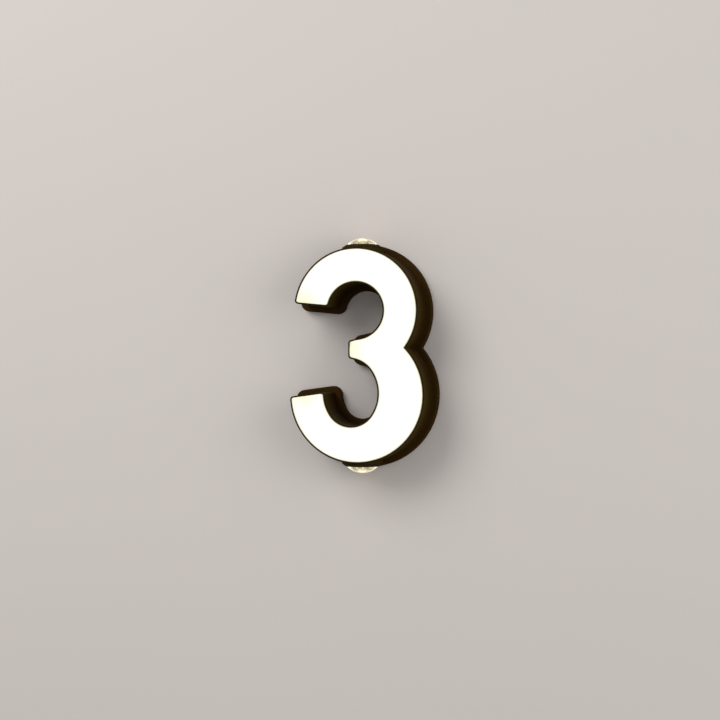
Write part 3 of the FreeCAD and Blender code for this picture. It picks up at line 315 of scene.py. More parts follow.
def soften(piece, width, segments=2, angle=30):
    """Bevels the sharp edges of a piece and shades its curves smooth."""
    choose(piece)
    bevel = piece.modifiers.new("Soft edges", "BEVEL")
    bevel.width = width
    bevel.segments = segments
    bevel.limit_method = "ANGLE"
    bevel.angle_limit = math.radians(angle)
    bpy.ops.object.modifier_apply(modifier=bevel.name)
    bpy.ops.object.shade_smooth_by_angle(angle=math.radians(angle))


def settle(piece, node):
    """Puts a finished piece in a CAD node's place, on the body that the node rides on."""
    choose(piece)
    bpy.ops.object.transform_apply(location=True, rotation=True, scale=True)
    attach(piece, "root")
    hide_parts(node)
    return piece


def middle_of(node):
    """The middle of a CAD node's box."""
    low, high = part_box(node)
    return (Vector(low) + Vector(high)) / 2


# ---------------------------------------------------------------- tools for materials


class Graph:
    """A node tree that is written one line a node."""

    def __init__(self, tree):
        self.tree = tree

    def add(self, kind, inputs=None, **settings):
        """Adds a node. An input is a number, a colour or another node's socket."""
        node = self.tree.nodes.new(kind)
        for name, value in settings.items():
            setattr(node, name, value)
        for name, value in (inputs or {}).items():
            socket = node.inputs[name]
            if isinstance(value, bpy.types.NodeSocket):
                self.tree.links.new(value, socket)
            else:
                socket.default_value = value
        return node

    def maths(self, operation, first, second=0.0, clamp=False):
        """Works out one value from one or two."""
        return self.add("ShaderNodeMath", {0: first, 1: second}, operation=operation,
                        use_clamp=clamp).outputs[0]

    def blend(self, share, first, second, mode="MIX"):
        """Mixes two colours by a share."""
        node = self.add("ShaderNodeMix", {0: share, 6: first, 7: second}, data_type="RGBA",
                        blend_type=mode)
        return node.outputs[2]

    def span(self, value, low, high, start=0.0, end=1.0, smooth=True):
        """Maps a value's range on another range, and keeps it inside."""
        node = self.add("ShaderNodeMapRange", {"Value": value, "From Min": low, "From Max": high,
                                               "To Min": start, "To Max": end},
                        interpolation_type="SMOOTHSTEP" if smooth else "LINEAR")
        return node.outputs["Result"]

    def noise(self, where, size, detail=2.0, roughness=0.5):
        """Noise whose features are about as wide as the size given."""
        node = self.add("ShaderNodeTexNoise", {"Vector": where, "Scale": 1 / size, "Detail": detail,
                                               "Roughness": roughness})
        return node.outputs["Fac"]

    def bump(self, height, depth, strength):
        """Turns a height into a normal, with the depth in metres."""
        node = self.add("ShaderNodeBump", {"Height": height, "Distance": depth, "Strength": strength})
        return node.outputs["Normal"]

    def place(self):
        """The point on the surface, in the frame's metres."""
        return self.add("ShaderNodeTexCoord").outputs["Object"]

    def apply_group(self, name, **inputs):
        """Places a shared effect. Input names have spaces where the keywords have underscores."""
        node = self.add("ShaderNodeGroup", node_tree=bpy.data.node_groups[name])
        for key, value in inputs.items():
            socket = node.inputs[key.replace("_", " ")]
            if isinstance(value, bpy.types.NodeSocket):
                self.tree.links.new(value, socket)
            else:
                socket.default_value = value
        return node


def new_group(name, inputs, outputs):
    """An empty node group with named sockets: its graph, its inputs and its output node."""
    tree = bpy.data.node_groups.new(name, "ShaderNodeTree")
    for socket, kind, value in inputs:
        made = tree.interface.new_socket(socket, in_out="INPUT", socket_type=kind)
        if value is not None:
            made.default_value = value
    for socket, kind in outputs:
        tree.interface.new_socket(socket, in_out="OUTPUT", socket_type=kind)
    graph = Graph(tree)
    return graph, graph.add("NodeGroupInput").outputs, graph.add("NodeGroupOutput")


def new_material(name, **values):
    """A material with one Principled shader whose plain sockets are set by name."""
    material = bpy.data.materials.new(name)
    material.use_nodes = True
    shader = material.node_tree.nodes["Principled BSDF"]
    for key, value in values.items():
        shader.inputs[key.replace("_", " ")].default_value = value
    return material, Graph(material.node_tree), shader


def feed(graph, shader, **sockets):
    """Links outputs to the shader's sockets by name."""
    for key, output in sockets.items():
        graph.tree.links.new(output, shader.inputs[key.replace("_", " ")])


def paint(piece, material):
    """Gives an object one material in every slot."""
    if not piece.data.materials:
        piece.data.materials.append(material)
    for slot in piece.material_slots:
        slot.material = material


def paint_nodes(material, *names):
    """Gives CAD nodes one material."""
    for name in names:
        paint(NODES[name], material)


# ---------------------------------------------------------------- shared effects


def make_mottle():
    """Slow drift between two colours, with finer clouds over it."""
    graph, given, out = new_group(
        "Mottle", (("Vector", "NodeSocketVector", None), ("Colour", "NodeSocketColor", None),
                   ("Second Colour", "NodeSocketColor", None), ("Size", "NodeSocketFloat", 0.03)),
        (("Colour", "NodeSocketColor"), ("Mask", "NodeSocketFloat")))
    scale = graph.maths("DIVIDE", 1.0, given["Size"])
    slow = graph.add("ShaderNodeTexNoise",
                     {"Vector": given["Vector"], "Scale": scale, "Detail": 3.0})
    fine_scale = graph.maths("MULTIPLY", scale, 7.3)
    fine = graph.add("ShaderNodeTexNoise",
                     {"Vector": given["Vector"], "Scale": fine_scale, "Detail": 2.0})
    both = graph.maths("ADD", graph.maths("MULTIPLY", slow.outputs["Fac"], 0.7),
                       graph.maths("MULTIPLY", fine.outputs["Fac"], 0.3))
    mask = graph.span(both, 0.36, 0.64)
    drift = graph.blend(mask, given["Colour"], given["Second Colour"])
    graph.tree.links.new(drift, out.inputs["Colour"])
    graph.tree.links.new(mask, out.inputs["Mask"])


def make_grain():
    """Fine pebbled grain, as of a powder coat or a moulded skin."""
    graph, given, out = new_group(
        "Grain", (("Vector", "NodeSocketVector", None), ("Size", "NodeSocketFloat", 0.0005)),
        (("Height", "NodeSocketFloat"), ("Specks", "NodeSocketFloat")))
    scale = graph.maths("DIVIDE", 1.0, given["Size"])
    pebbles = graph.add("ShaderNodeTexVoronoi", {"Vector": given["Vector"], "Scale": scale},
                        feature="SMOOTH_F1")
    soft_scale = graph.maths("MULTIPLY", scale, 0.37)
    soft = graph.add("ShaderNodeTexNoise",
                     {"Vector": given["Vector"], "Scale": soft_scale, "Detail": 3.0})
    height = graph.maths("ADD", graph.maths("MULTIPLY", pebbles.outputs["Distance"], 0.55),
                         graph.maths("MULTIPLY", soft.outputs["Fac"], 0.45))
    specks = graph.span(soft.outputs["Fac"], 0.62, 0.74)
    graph.tree.links.new(height, out.inputs["Height"])
    graph.tree.links.new(specks, out.inputs["Specks"])


def make_weather():
    """Dust that settles on what faces up, in patches."""
    graph, given, out = new_group(
        "Weather", (("Vector", "NodeSocketVector", None), ("Amount", "NodeSocketFloat", 0.5)),
        (("Dust", "NodeSocketFloat"),))
    normal = graph.add("ShaderNodeNewGeometry").outputs["Normal"]
    up = graph.add("ShaderNodeSeparateXYZ", {0: normal}).outputs["Z"]
    facing = graph.span(up, 0.25, 0.95)
    patches = graph.span(graph.noise(given["Vector"], 0.012, detail=4.0), 0.38, 0.68, 0.25, 1.0)
    dust = graph.maths("MULTIPLY", graph.maths("MULTIPLY", facing, patches), given["Amount"])
    graph.tree.links.new(dust, out.inputs["Dust"])


def make_rub():
    """Rubbed places along a plane, such as a front edge: a ragged band at a distance along Y."""
    graph, given, out = new_group(
        "Rub", (("Vector", "NodeSocketVector", None), ("Plane", "NodeSocketFloat", 0.0),
                ("Width", "NodeSocketFloat", 0.001)), (("Mask", "NodeSocketFloat"),))
    along = graph.add("ShaderNodeSeparateXYZ", {0: given["Vector"]}).outputs["Y"]
    away = graph.maths("ABSOLUTE", graph.maths("SUBTRACT", along, given["Plane"]))
    near = graph.span(graph.maths("DIVIDE", away, given["Width"]), 0.0, 1.0, 1.0, 0.0)
    ragged = graph.span(graph.noise(given["Vector"], 0.004, detail=5.0, roughness=0.7), 0.48, 0.66)
    graph.tree.links.new(graph.maths("MULTIPLY", near, ragged), out.inputs["Mask"])


def make_brushing():
    """Fine lines left by a tool, across one direction."""
    graph, given, out = new_group(
        "Brushing", (("Vector", "NodeSocketVector", None), ("Stretch", "NodeSocketVector", (1, 1, 0.04)),
                     ("Size", "NodeSocketFloat", 0.0004)), (("Height", "NodeSocketFloat"),))
    pulled = graph.add("ShaderNodeVectorMath", {0: given["Vector"], 1: given["Stretch"]},
                       operation="MULTIPLY").outputs[0]
    scale = graph.maths("DIVIDE", 1.0, given["Size"])
    lines = graph.add("ShaderNodeTexNoise", {"Vector": pulled, "Scale": scale, "Detail": 3.0,
                                             "Roughness": 0.6})
    graph.tree.links.new(lines.outputs["Fac"], out.inputs["Height"])


def make_shared_effects():
    for make in (make_mottle, make_grain, make_weather, make_rub, make_brushing):
        make()


# ---------------------------------------------------------------- finishes


def coat_material(name, colours, settings, depth_from, depth_to, grain_depth):
    """Dark powder coat with grain and a little dust, and painted light and shade. Its colours are those
    of its front edge, of what follows behind the edge and of its far end, and the depths are where the
    last two lie along Y. Where they differ, the front edge is painted darker as painted shade, and the
    band behind it is painted lighter as light spilling from the face, which fades towards the far end."""
    edge, front, back = (tuple(colour) for colour in colours)
    material, graph, shader = new_material(name, Specular_IOR_Level=0.0, Coat_Weight=0.08,
                                           Coat_Roughness=0.42)
    where = graph.place()
    along = graph.add("ShaderNodeSeparateXYZ", {0: where}).outputs["Y"]
    # painted light: the front colour, lighter as light spilling from the face, fades into the back
    # colour towards the wall
    painted_spill_fade = graph.span(along, depth_from, depth_to)
    base = graph.blend(painted_spill_fade, front, back)
    # painted shade: the front edge is painted in the darker edge colour
    off_rim_shade = graph.span(along, depth_from + 0.2 * MM, depth_from + 0.8 * MM)
    base = graph.blend(off_rim_shade, edge, base)
    darker = graph.blend(1.0, base, (0.86, 0.84, 0.82, 1), mode="MULTIPLY")
    mottle = graph.apply_group("Mottle", Vector=where, Colour=base, Second_Colour=darker,
                               Size=settings.clouds)
    grain = graph.apply_group("Grain", Vector=where, Size=settings.grain)
    rub = graph.apply_group("Rub", Vector=where, Plane=depth_from, Width=settings.rub)
    dust = graph.apply_group("Weather", Vector=where, Amount=settings.dust)
    flecks = graph.maths("MULTIPLY", grain.outputs["Specks"], 0.35)
    flecked = graph.blend(flecks, mottle.outputs["Colour"], (0.055, 0.040, 0.024, 1))
    worn = graph.maths("MULTIPLY", rub.outputs["Mask"], 0.12)
    rubbed = graph.blend(worn, flecked, (0.13, 0.105, 0.07, 1))
    dusty = graph.blend(dust.outputs["Dust"], rubbed, (0.30, 0.27, 0.23, 1))
    rough = graph.span(mottle.outputs["Mask"], 0.0, 1.0, 0.52, 0.62)
    rough = graph.maths("ADD", rough, graph.maths("MULTIPLY", dust.outputs["Dust"], 0.8), clamp=True)
    feed(graph, shader, Base_Color=dusty, Roughness=rough,
         Normal=graph.bump(grain.outputs["Height"], grain_depth, 0.6))
    return material


def opal_material(settings):
    """Opal acrylic lit from behind: white, creamier along its edge and at the strokes' ends, with a thin
    line of painted shade at its very edge where the rim shadows the sheet.
    """
    material, graph, shader = new_material("Lit opal acrylic", IOR=1.49,
                                           Emission_Strength=settings.strength)
    where = graph.place()
    inset = graph.add("ShaderNodeAttribute", attribute_name="inset").outputs["Fac"]
    cream = graph.span(inset, 0.0, settings.edge_band, 0.6, 0.0)
    for end in STROKE_ENDS:
        reach = graph.add("ShaderNodeVectorMath", {0: where, 1: end},
                          operation="DISTANCE").outputs["Value"]
        cream = graph.maths("ADD", cream, graph.span(reach, 0.0, settings.end_band, 0.75, 0.0))
    clouds = graph.noise(where, 0.030, detail=2.0)
    cream = graph.maths("ADD", cream, graph.span(clouds, 0.35, 0.75, 0.0, 0.05), clamp=True)
    haze = graph.noise(where, 0.0009, detail=3.0)
    light = graph.blend(cream, tuple(settings.glow), tuple(settings.edge_glow))
    # painted shade: the glow fades to a dark colour in a thin line along the edge, where the rim shadows
    # the sheet
    lit = graph.span(inset, 0.0, settings.edge_shade, 0.08, 1.0)
    feed(graph, shader,
         Base_Color=graph.blend(cream, (0.20, 0.20, 0.195, 1), (0.20, 0.19, 0.16, 1)),
         Emission_Color=graph.blend(lit, (0.05, 0.035, 0.01, 1), light),
         Roughness=graph.span(haze, 0.3, 0.7, 0.30, 0.42),
         Normal=graph.bump(haze, 0.000008, 0.4))
    return material


def glass_material(settings, axis, foot):
    """Clear moulded optic with a painted glow: its emission stands in for the emitter's light in the
    glass, as painted highlights over its crown and its two ends and painted glints in its flutes.
    """
    material, graph, shader = new_material(
        "Clear moulded optic", Base_Color=tuple(settings.tint), Roughness=0.03, IOR=1.49,
        Transmission_Weight=1.0, Emission_Strength=settings.strength)
    where = graph.place()
    split = graph.add("ShaderNodeSeparateXYZ", {0: where}).outputs
    # painted highlight: the painted glow rises from the foot towards the crown
    up = graph.maths("ABSOLUTE", split["Z"])
    crown = graph.span(up, foot + 0.08 * settings.dome_height, foot + 0.68 * settings.dome_height)
    # painted highlights at the dome's left and right ends
    aside = graph.maths("ABSOLUTE", graph.maths("SUBTRACT", split["X"], axis.x))
    ends = graph.span(aside, 0.40 * settings.body_radius, 0.80 * settings.body_radius, 0.0, 0.80)
    crown = graph.maths("MAXIMUM", crown, ends)
    # painted glints along the flutes
    centred = graph.add("ShaderNodeMapping",
                        {"Vector": where, "Location": (-axis.x, -axis.y, 0)}).outputs[0]
    turn = graph.add("ShaderNodeTexGradient", {"Vector": centred}, gradient_type="RADIAL").outputs["Fac"]
    wave = graph.maths("SINE", graph.maths("MULTIPLY", turn, 2 * math.pi * settings.flutes))
    flute_painted_glints = graph.span(wave, 0.35, 1.0, 0.0, 0.45)
    flute_painted_glints = graph.maths("MULTIPLY", flute_painted_glints, graph.span(graph.noise(where, 0.003), 0.42, 0.62))
    glow = graph.maths("MAXIMUM", crown, flute_painted_glints)
    # painted glints: noise breaks the painted glow into sparkles
    painted_glints = graph.span(graph.noise(where, 0.0012, detail=3.0, roughness=0.7), 0.40, 0.62, 0.55, 1.0)
    glow = graph.maths("MULTIPLY", glow, painted_glints)
    ripple = graph.noise(where, 0.0022, detail=2.0)
    feed(graph, shader, Normal=graph.bump(ripple, 0.00006, 0.5),
         Emission_Color=graph.blend(glow, tuple(settings.foot_painted_glow), tuple(settings.crown_painted_glow)))
    return material


def plain_material(name, colour, second, roughness, grain_size, grain_depth, mottle_size=0.008,
                   **values):
    """Moulded, cast or rubber finish: two close colours in clouds, and a grain in the skin."""
    material, graph, shader = new_material(name, **values)
    where = graph.place()
    mottle = graph.apply_group("Mottle", Vector=where, Colour=colour, Second_Colour=second,
                               Size=mottle_size)
    grain = graph.apply_group("Grain", Vector=where, Size=grain_size)
    rough = graph.span(mottle.outputs["Mask"], 0.0, 1.0, roughness - 0.05, roughness + 0.05)
    feed(graph, shader, Base_Color=mottle.outputs["Colour"], Roughness=rough,
         Normal=graph.bump(grain.outputs["Height"], grain_depth, 0.7))
    return material


def machined_material(name, colour, second, roughness, stretch, line_size=0.0003):
    """Bare metal with tool lines along one direction."""
    material, graph, shader = new_material(name, Metallic=1.0)
    where = graph.place()
    lines = graph.apply_group("Brushing", Vector=where, Stretch=stretch,
                              Size=line_size).outputs["Height"]
    mottle = graph.apply_group("Mottle", Vector=where, Colour=colour, Second_Colour=second, Size=0.004)
    feed(graph, shader, Base_Color=mottle.outputs["Colour"],
         Roughness=graph.span(lines, 0.3, 0.7, roughness - 0.08, roughness + 0.10),
         Normal=graph.bump(lines, 0.000012, 0.8))
    return material


def foam_material():
    """Closed-cell foam: small round cells with thin walls."""
    material, graph, shader = new_material("Closed-cell foam", Roughness=0.95, Specular_IOR_Level=0.2)
    where = graph.place()
    cells = graph.add("ShaderNodeTexVoronoi", {"Vector": where, "Scale": 1 / 0.0011}).outputs["Distance"]
    colour = graph.blend(graph.span(cells, 0.1, 0.6), (0.010, 0.010, 0.010, 1), (0.036, 0.035, 0.034, 1))
    feed(graph, shader, Base_Color=colour, Normal=graph.bump(cells, 0.00025, 0.8))
    return material


def board_material():
    """White solder mask with copper tracks that show through as a faint grid of bars."""
    material, graph, shader = new_material("White solder mask")
    where = graph.place()
    turned = graph.add("ShaderNodeMapping",
                       {"Vector": where, "Rotation": (math.radians(90), 0, 0)}).outputs[0]
    tracks = graph.add("ShaderNodeTexBrick", {
        "Vector": turned, "Scale": 60.0, "Mortar Size": 0.03, "Mortar Smooth": 0.3, "Bias": 0.0,
        "Brick Width": 0.9, "Row Height": 0.3, "Color1": (0.80, 0.80, 0.77, 1),
        "Color2": (0.77, 0.77, 0.74, 1), "Mortar": (0.62, 0.62, 0.57, 1)})
    feed(graph, shader, Base_Color=tracks.outputs["Color"],
         Roughness=graph.span(tracks.outputs["Fac"], 0.0, 1.0, 0.35, 0.48),
         Normal=graph.bump(tracks.outputs["Fac"], 0.00004, 0.6))
    return material


def emitter_material(name, strength):
    """Yellow phosphor under clear resin, lit."""
    material, graph, shader = new_material(name, Emission_Strength=strength, Roughness=0.25)
    where = graph.place()
    clouds = graph.noise(where, 0.0009, detail=2.0)
    colour = graph.blend(clouds, (0.86, 0.66, 0.20, 1), (0.93, 0.80, 0.38, 1))
    light = graph.blend(clouds, (1.0, 0.80, 0.50, 1), (1.0, 0.88, 0.64, 1))
    feed(graph, shader, Base_Color=colour, Emission_Color=light)
    return material


def lead_material(split_x):
    """Drawn insulation: brown on the left of a plane and blue on the right of it."""
    material, graph, shader = new_material("Lead insulation", Roughness=0.45)
    where = graph.place()
    across = graph.add("ShaderNodeSeparateXYZ", {0: where}).outputs["X"]
    side = graph.span(across, split_x - 0.0001, split_x + 0.0001, smooth=False)
    streaks = graph.noise(where, 0.0025, detail=2.0)
    brown = graph.blend(streaks, (0.10, 0.035, 0.015, 1), (0.14, 0.050, 0.020, 1))
    blue = graph.blend(streaks, (0.015, 0.05, 0.22, 1), (0.020, 0.07, 0.28, 1))
    feed(graph, shader, Base_Color=graph.blend(side, brown, blue),
         Normal=graph.bump(streaks, 0.00004, 0.4))
    return material


# ---------------------------------------------------------------- operators


class HOUSENUMBER_OT_stage(bpy.types.Operator):
    """Adds the wall and floor, soft lamps, the world's even light and the photograph's camera"""

    bl_idname = "housenumber.stage"
    bl_label = "Stage"

    def seen(self, graph):
        """One where the camera, a reflection or a view through glass looks, and nought for light."""
        path = graph.add("ShaderNodeLightPath").outputs
        looks = graph.maths("MAXIMUM", path["Is Camera Ray"], path["Is Glossy Ray"])
        return graph.maths("MAXIMUM", looks, path["Is Transmission Ray"])

    def one_sided(self, name, colour):
        """A plain matt surface that is only there for what looks at its front."""
        material, graph, shader = new_material(name, Roughness=0.9, Specular_IOR_Level=0.2)
        where = graph.place()
        pale = tuple(colour)
        paler = tuple(min(1.0, value * 1.03) for value in colour)
        feed(graph, shader, Base_Color=graph.blend(graph.noise(where, 0.4), pale, paler))
        behind = graph.add("ShaderNodeNewGeometry").outputs["Backfacing"]
        shown = graph.maths("MULTIPLY", self.seen(graph), graph.maths("SUBTRACT", 1.0, behind))
        clear = graph.add("ShaderNodeBsdfTransparent")
        mixed = graph.add("ShaderNodeMixShader",
                          {0: shown, 1: clear.outputs[0], 2: shader.outputs[0]})
        graph.tree.links.new(mixed.outputs[0], graph.tree.nodes["Material Output"].inputs["Surface"])
        return material

    def plane(self, name, size, place, turn, material):
        """Adds a flat background that the camera sees and the table of pieces leaves out."""
        deselect()
        bpy.ops.mesh.primitive_plane_add(size=size, location=place, rotation=turn)
        piece = new_piece(name)
        bpy.ops.object.transform_apply(location=True, rotation=True, scale=True)
        paint(piece, material)

    def lamp(self, name, power, place):
        """Adds a large soft lamp that faces the middle of the sign."""
        deselect()
        turn = (-Vector(place)).to_track_quat("-Z", "Y").to_euler()
        bpy.ops.object.light_add(type="AREA", location=place, rotation=turn)
        lamp = bpy.context.object
        lamp.name = name
        lamp.data.energy = power
        lamp.data.size = LAMP_SIZE

    def execute(self, context):
        settings = context.scene.house_number_stage
        material = self.one_sided("Pale wall", settings.wall)
        behind = CAD_BOX[1].y + WALL_GAP
        self.plane("wall", WALL_SIZE, (0, behind, 0), (math.radians(90), 0, 0), material)
        self.plane("floor", FLOOR_SIZE, (0, 0, -settings.floor_drop), (0, 0, 0), material)
        for name, power, place in LAMPS:
            self.lamp(name, getattr(settings, power), place)

        world = context.scene.world or bpy.data.worlds.new("World")
        context.scene.world = world
        world.use_nodes = True
        even = world.node_tree.nodes["Background"]
        even.inputs["Color"].default_value = (1, 1, 1, 1)
        even.inputs["Strength"].default_value = settings.ambient
        graph = Graph(world.node_tree)
        plain = graph.add("ShaderNodeBackground", {"Color": tuple(settings.wall), "Strength": 1.0})
        mixed = graph.add("ShaderNodeMixShader",
                          {0: self.seen(graph), 1: even.outputs[0], 2: plain.outputs[0]})
        graph.tree.links.new(mixed.outputs[0], world.node_tree.nodes["World Output"].inputs["Surface"])

        deselect()
        bpy.ops.object.camera_add(location=settings.camera_place,
                                  rotation=(math.radians(90) + settings.camera_rise, 0,
                                            settings.camera_turn))
        camera = bpy.context.object
        camera.data.lens = settings.lens_length
        camera.data.sensor_width = 36
        context.scene.camera = camera
        context.scene.view_settings.view_transform = "Standard"
        return {"FINISHED"}


class HOUSENUMBER_OT_face(bpy.types.Operator):
    """Makes the opal face with a rounded front edge and a creamier glow along it"""

    bl_idname = "housenumber.face"
    bl_label = "Opal face"

    def outline(self, piece):
        """Points along the selected edges, close enough to measure from."""
        mesh = bmesh.from_edit_mesh(piece.data)
        ends = [[vertex.co.copy() for vertex in edge.verts] for edge in mesh.edges if edge.select]
        return [first.lerp(second, share) for first, second in ends
                for share in (0, 0.2, 0.4, 0.6, 0.8, 1)]

    def cut_to_cells(self, cell):
        """Bisects the sheet along X and Z, so that its front has points to carry a gradient."""
        low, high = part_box("face_diffuser")
        for axis, normal in ((0, (1, 0, 0)), (2, (0, 0, 1))):
            for step in range(1, math.ceil((high[axis] - low[axis]) / cell)):
                point = [0, 0, 0]
                point[axis] = low[axis] + step * cell
                bpy.ops.mesh.select_all(action="SELECT")
                bpy.ops.mesh.bisect(plane_co=point, plane_no=normal)

    def execute(self, context):
        settings = context.scene.house_number_face
        piece = merged_copy("face_diffuser", "opal_face")
        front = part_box("face_diffuser")[0][1]
        bpy.ops.object.mode_set(mode="EDIT")
        select_parts(piece, "FACE", lambda face: all(abs(v.co.y - front) < 1e-6 for v in face.verts))
        bpy.ops.mesh.region_to_loop()
        rim = self.outline(piece)
        bpy.ops.mesh.bevel(offset=settings.edge_round, segments=3, affect="EDGES")
        self.cut_to_cells(settings.cell)
        bpy.ops.object.mode_set(mode="OBJECT")

        tree = KDTree(len(rim))
        for count, point in enumerate(rim):
            tree.insert(point, count)
        tree.balance()
        inset = piece.data.attributes.new("inset", "FLOAT", "POINT")
        for vertex in piece.data.vertices:
            flat = Vector((vertex.co.x, front, vertex.co.z))
            inset.data[vertex.index].value = tree.find(flat)[2]
        choose(piece)
        bpy.ops.object.shade_smooth_by_angle(angle=math.radians(30))
        paint(piece, opal_material(settings))
        settle(piece, "face_diffuser")
        return {"FINISHED"}


class HOUSENUMBER_OT_casing(bpy.types.Operator):
    """Coats the shell and the wall tray"""

    bl_idname = "housenumber.casing"
    bl_label = "Casing"

    def execute(self, context):
        settings = context.scene.house_number_coat
        low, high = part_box("housing_shell")
        # the shell's coat carries painted light and shade: darker at the rim, lighter behind it where
        # light from the face spills, fading towards the wall; the tray's coat is one colour
        shell = coat_material("Housing powder coat", (settings.rim, settings.front, settings.back),
                              settings, low[1], low[1] + (high[1] - low[1]) * 0.75, 0.04 * MM)
        paint_nodes(shell, "housing_shell")
        low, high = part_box("base_tray")
        tray = coat_material("Tray powder coat", (settings.tray,) * 3, settings, low[1], high[1],
                             0.08 * MM)
        paint_nodes(tray, "base_tray")
        return {"FINISHED"}


class HOUSENUMBER_OT_lenses(bpy.types.Operator):
    """Models the clear domed lenses, with flutes round the foot of the dome"""

    bl_idname = "housenumber.lenses"
    bl_label = "Lenses"

    def model(self, settings):
        """The lens at the top end, from a sphere cut at the ring."""
        low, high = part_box("lens_top")
        axis = middle_of("lens_top")
        radius = settings.body_radius
        foot = high[2] - settings.dome_height
        ball = (radius ** 2 + settings.dome_height ** 2) / (2 * settings.dome_height)
        deselect()
        bpy.ops.mesh.primitive_uv_sphere_add(
            segments=settings.flutes * FLUTE_SIDES, ring_count=DOME_ROWS, radius=ball,
            location=(axis.x, axis.y, high[2] - ball))
        piece = new_piece("clear_lens_top")
        bpy.ops.object.transform_apply(location=True, rotation=True, scale=True)
        bpy.ops.object.mode_set(mode="EDIT")
        bpy.ops.mesh.select_all(action="SELECT")
        bpy.ops.mesh.bisect(plane_co=(axis.x, axis.y, foot), plane_no=(0, 0, 1), clear_inner=True,
                            use_fill=True)

        def is_base(face):
            return face.normal.z < -0.99

        # the straight body, the flange under it and the pocket over the emitter
        select_parts(piece, "FACE", is_base)
        body = foot - low[2] - settings.flange
        bpy.ops.mesh.extrude_region_move(TRANSFORM_OT_translate={"value": (0, 0, -body)})
        centre = (axis.x, axis.y, foot - body)
        flange_radius = (high[0] - low[0]) / 2
        bpy.ops.mesh.extrude_region_move(TRANSFORM_OT_translate={"value": (0, 0, 0)})
        grow = flange_radius / radius
        bpy.ops.transform.resize(value=(grow, grow, 1), center_override=centre)
        bpy.ops.mesh.extrude_region_move(TRANSFORM_OT_translate={"value": (0, 0, -settings.flange)})
        bpy.ops.mesh.inset(thickness=flange_radius - settings.pocket_radius)
        bpy.ops.mesh.extrude_region_move(TRANSFORM_OT_translate={"value": (0, 0, settings.pocket_depth)})
        bpy.ops.transform.resize(value=(POCKET_TAPER, POCKET_TAPER, 1), center_override=centre)

        # flutes: one column in four is drawn in round the foot of the dome
        step = 2 * math.pi / (settings.flutes * FLUTE_SIDES)
        band = foot + settings.dome_height * FLUTE_REACH

        def in_flute(vertex):
            if not foot - 1e-5 < vertex.co.z < band:
                return False
            turn = math.atan2(vertex.co.y - axis.y, vertex.co.x - axis.x)
            return round(turn / step) % FLUTE_SIDES == 0

        select_parts(piece, "VERT", in_flute)
        bpy.ops.transform.resize(value=(FLUTE_DRAW, FLUTE_DRAW, 1),
                                 center_override=(axis.x, axis.y, foot))
        bpy.ops.mesh.select_all(action="SELECT")
        bpy.ops.mesh.normals_make_consistent(inside=False)
        bpy.ops.object.mode_set(mode="OBJECT")
        bpy.ops.object.shade_smooth_by_angle(angle=math.radians(35))
        return piece

    def execute(self, context):
        settings = context.scene.house_number_lens
        top = self.model(settings)
        bottom = top.copy()
        bottom.data = top.data.copy()
        bottom.name = "clear_lens_bottom"
        context.scene.collection.objects.link(bottom)
        choose(bottom)
        bpy.ops.transform.rotate(value=math.pi, orient_axis="X", center_override=middle_of("lens_top"))
        bpy.ops.transform.translate(value=middle_of("lens_bottom") - middle_of("lens_top"))
        material = glass_material(settings, middle_of("lens_top"),
                                  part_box("lens_top")[1][2] - settings.dome_height)
        for end, piece in zip(ENDS, (top, bottom)):
            paint(piece, material)
            settle(piece, f"lens_{end}")
        return {"FINISHED"}


class HOUSENUMBER_OT_rings(bpy.types.Operator):
    """Softens the black rings that hold the lenses"""

    bl_idname = "housenumber.rings"
    bl_label = "Lens rings"

    def execute(self, context):
        material = plain_material("Satin black ring", (0.022, 0.011, 0.001, 1), (0.028, 0.014, 0.001, 1),
                                  0.50, 0.0004, 0.00002, mottle_size=0.006, Specular_IOR_Level=0.0,
                                  Coat_Weight=0.12, Coat_Roughness=0.35)
        for end in ENDS:
            piece = merged_copy(f"lens_ring_{end}", f"trim_ring_{end}")
            soften(piece, 0.25 * MM)
            paint(piece, material)
            settle(piece, f"lens_ring_{end}")
        return {"FINISHED"}


class HOUSENUMBER_OT_seals(bpy.types.Operator):
    """Finishes the gasket and the seals, and ribs the cable grommet"""

    bl_idname = "housenumber.seals"
    bl_label = "Seals"

    def execute(self, context):
        foam = foam_material()
        paint_nodes(foam, "wall_gasket", "driver_pad")
        rubber = plain_material("Black rubber", (0.010, 0.009, 0.007, 1), (0.018, 0.016, 0.013, 1), 0.7,
                                0.0006, 0.00004, Specular_IOR_Level=0.25)
        paint_nodes(rubber, "shell_seal", "lens_seal_top", "lens_seal_bottom")
        silicone = plain_material("Milky silicone", (0.62, 0.60, 0.52, 1), (0.70, 0.68, 0.60, 1), 0.4,
                                  0.0009, 0.00002)
        paint_nodes(silicone, "face_seal")
        self.grommet(rubber)
        return {"FINISHED"}

    def grommet(self, rubber):
        """The grommet of the cable entry, with two moulded ribs round its mouth."""
        piece = merged_copy("cable_grommet", "ribbed_grommet")
        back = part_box("cable_grommet")[1][1]
        bpy.ops.object.mode_set(mode="EDIT")
        select_parts(piece, "FACE", lambda face: all(abs(v.co.y - back) < 1e-6 for v in face.verts))
        for margin, wall, depth in GROMMET_RIBS:
            bpy.ops.mesh.inset(thickness=margin)
            bpy.ops.mesh.inset(thickness=wall, depth=depth)
        bpy.ops.object.mode_set(mode="OBJECT")
        soften(piece, 0.06 * MM)
        paint(piece, rubber)
        settle(piece, "cable_grommet")


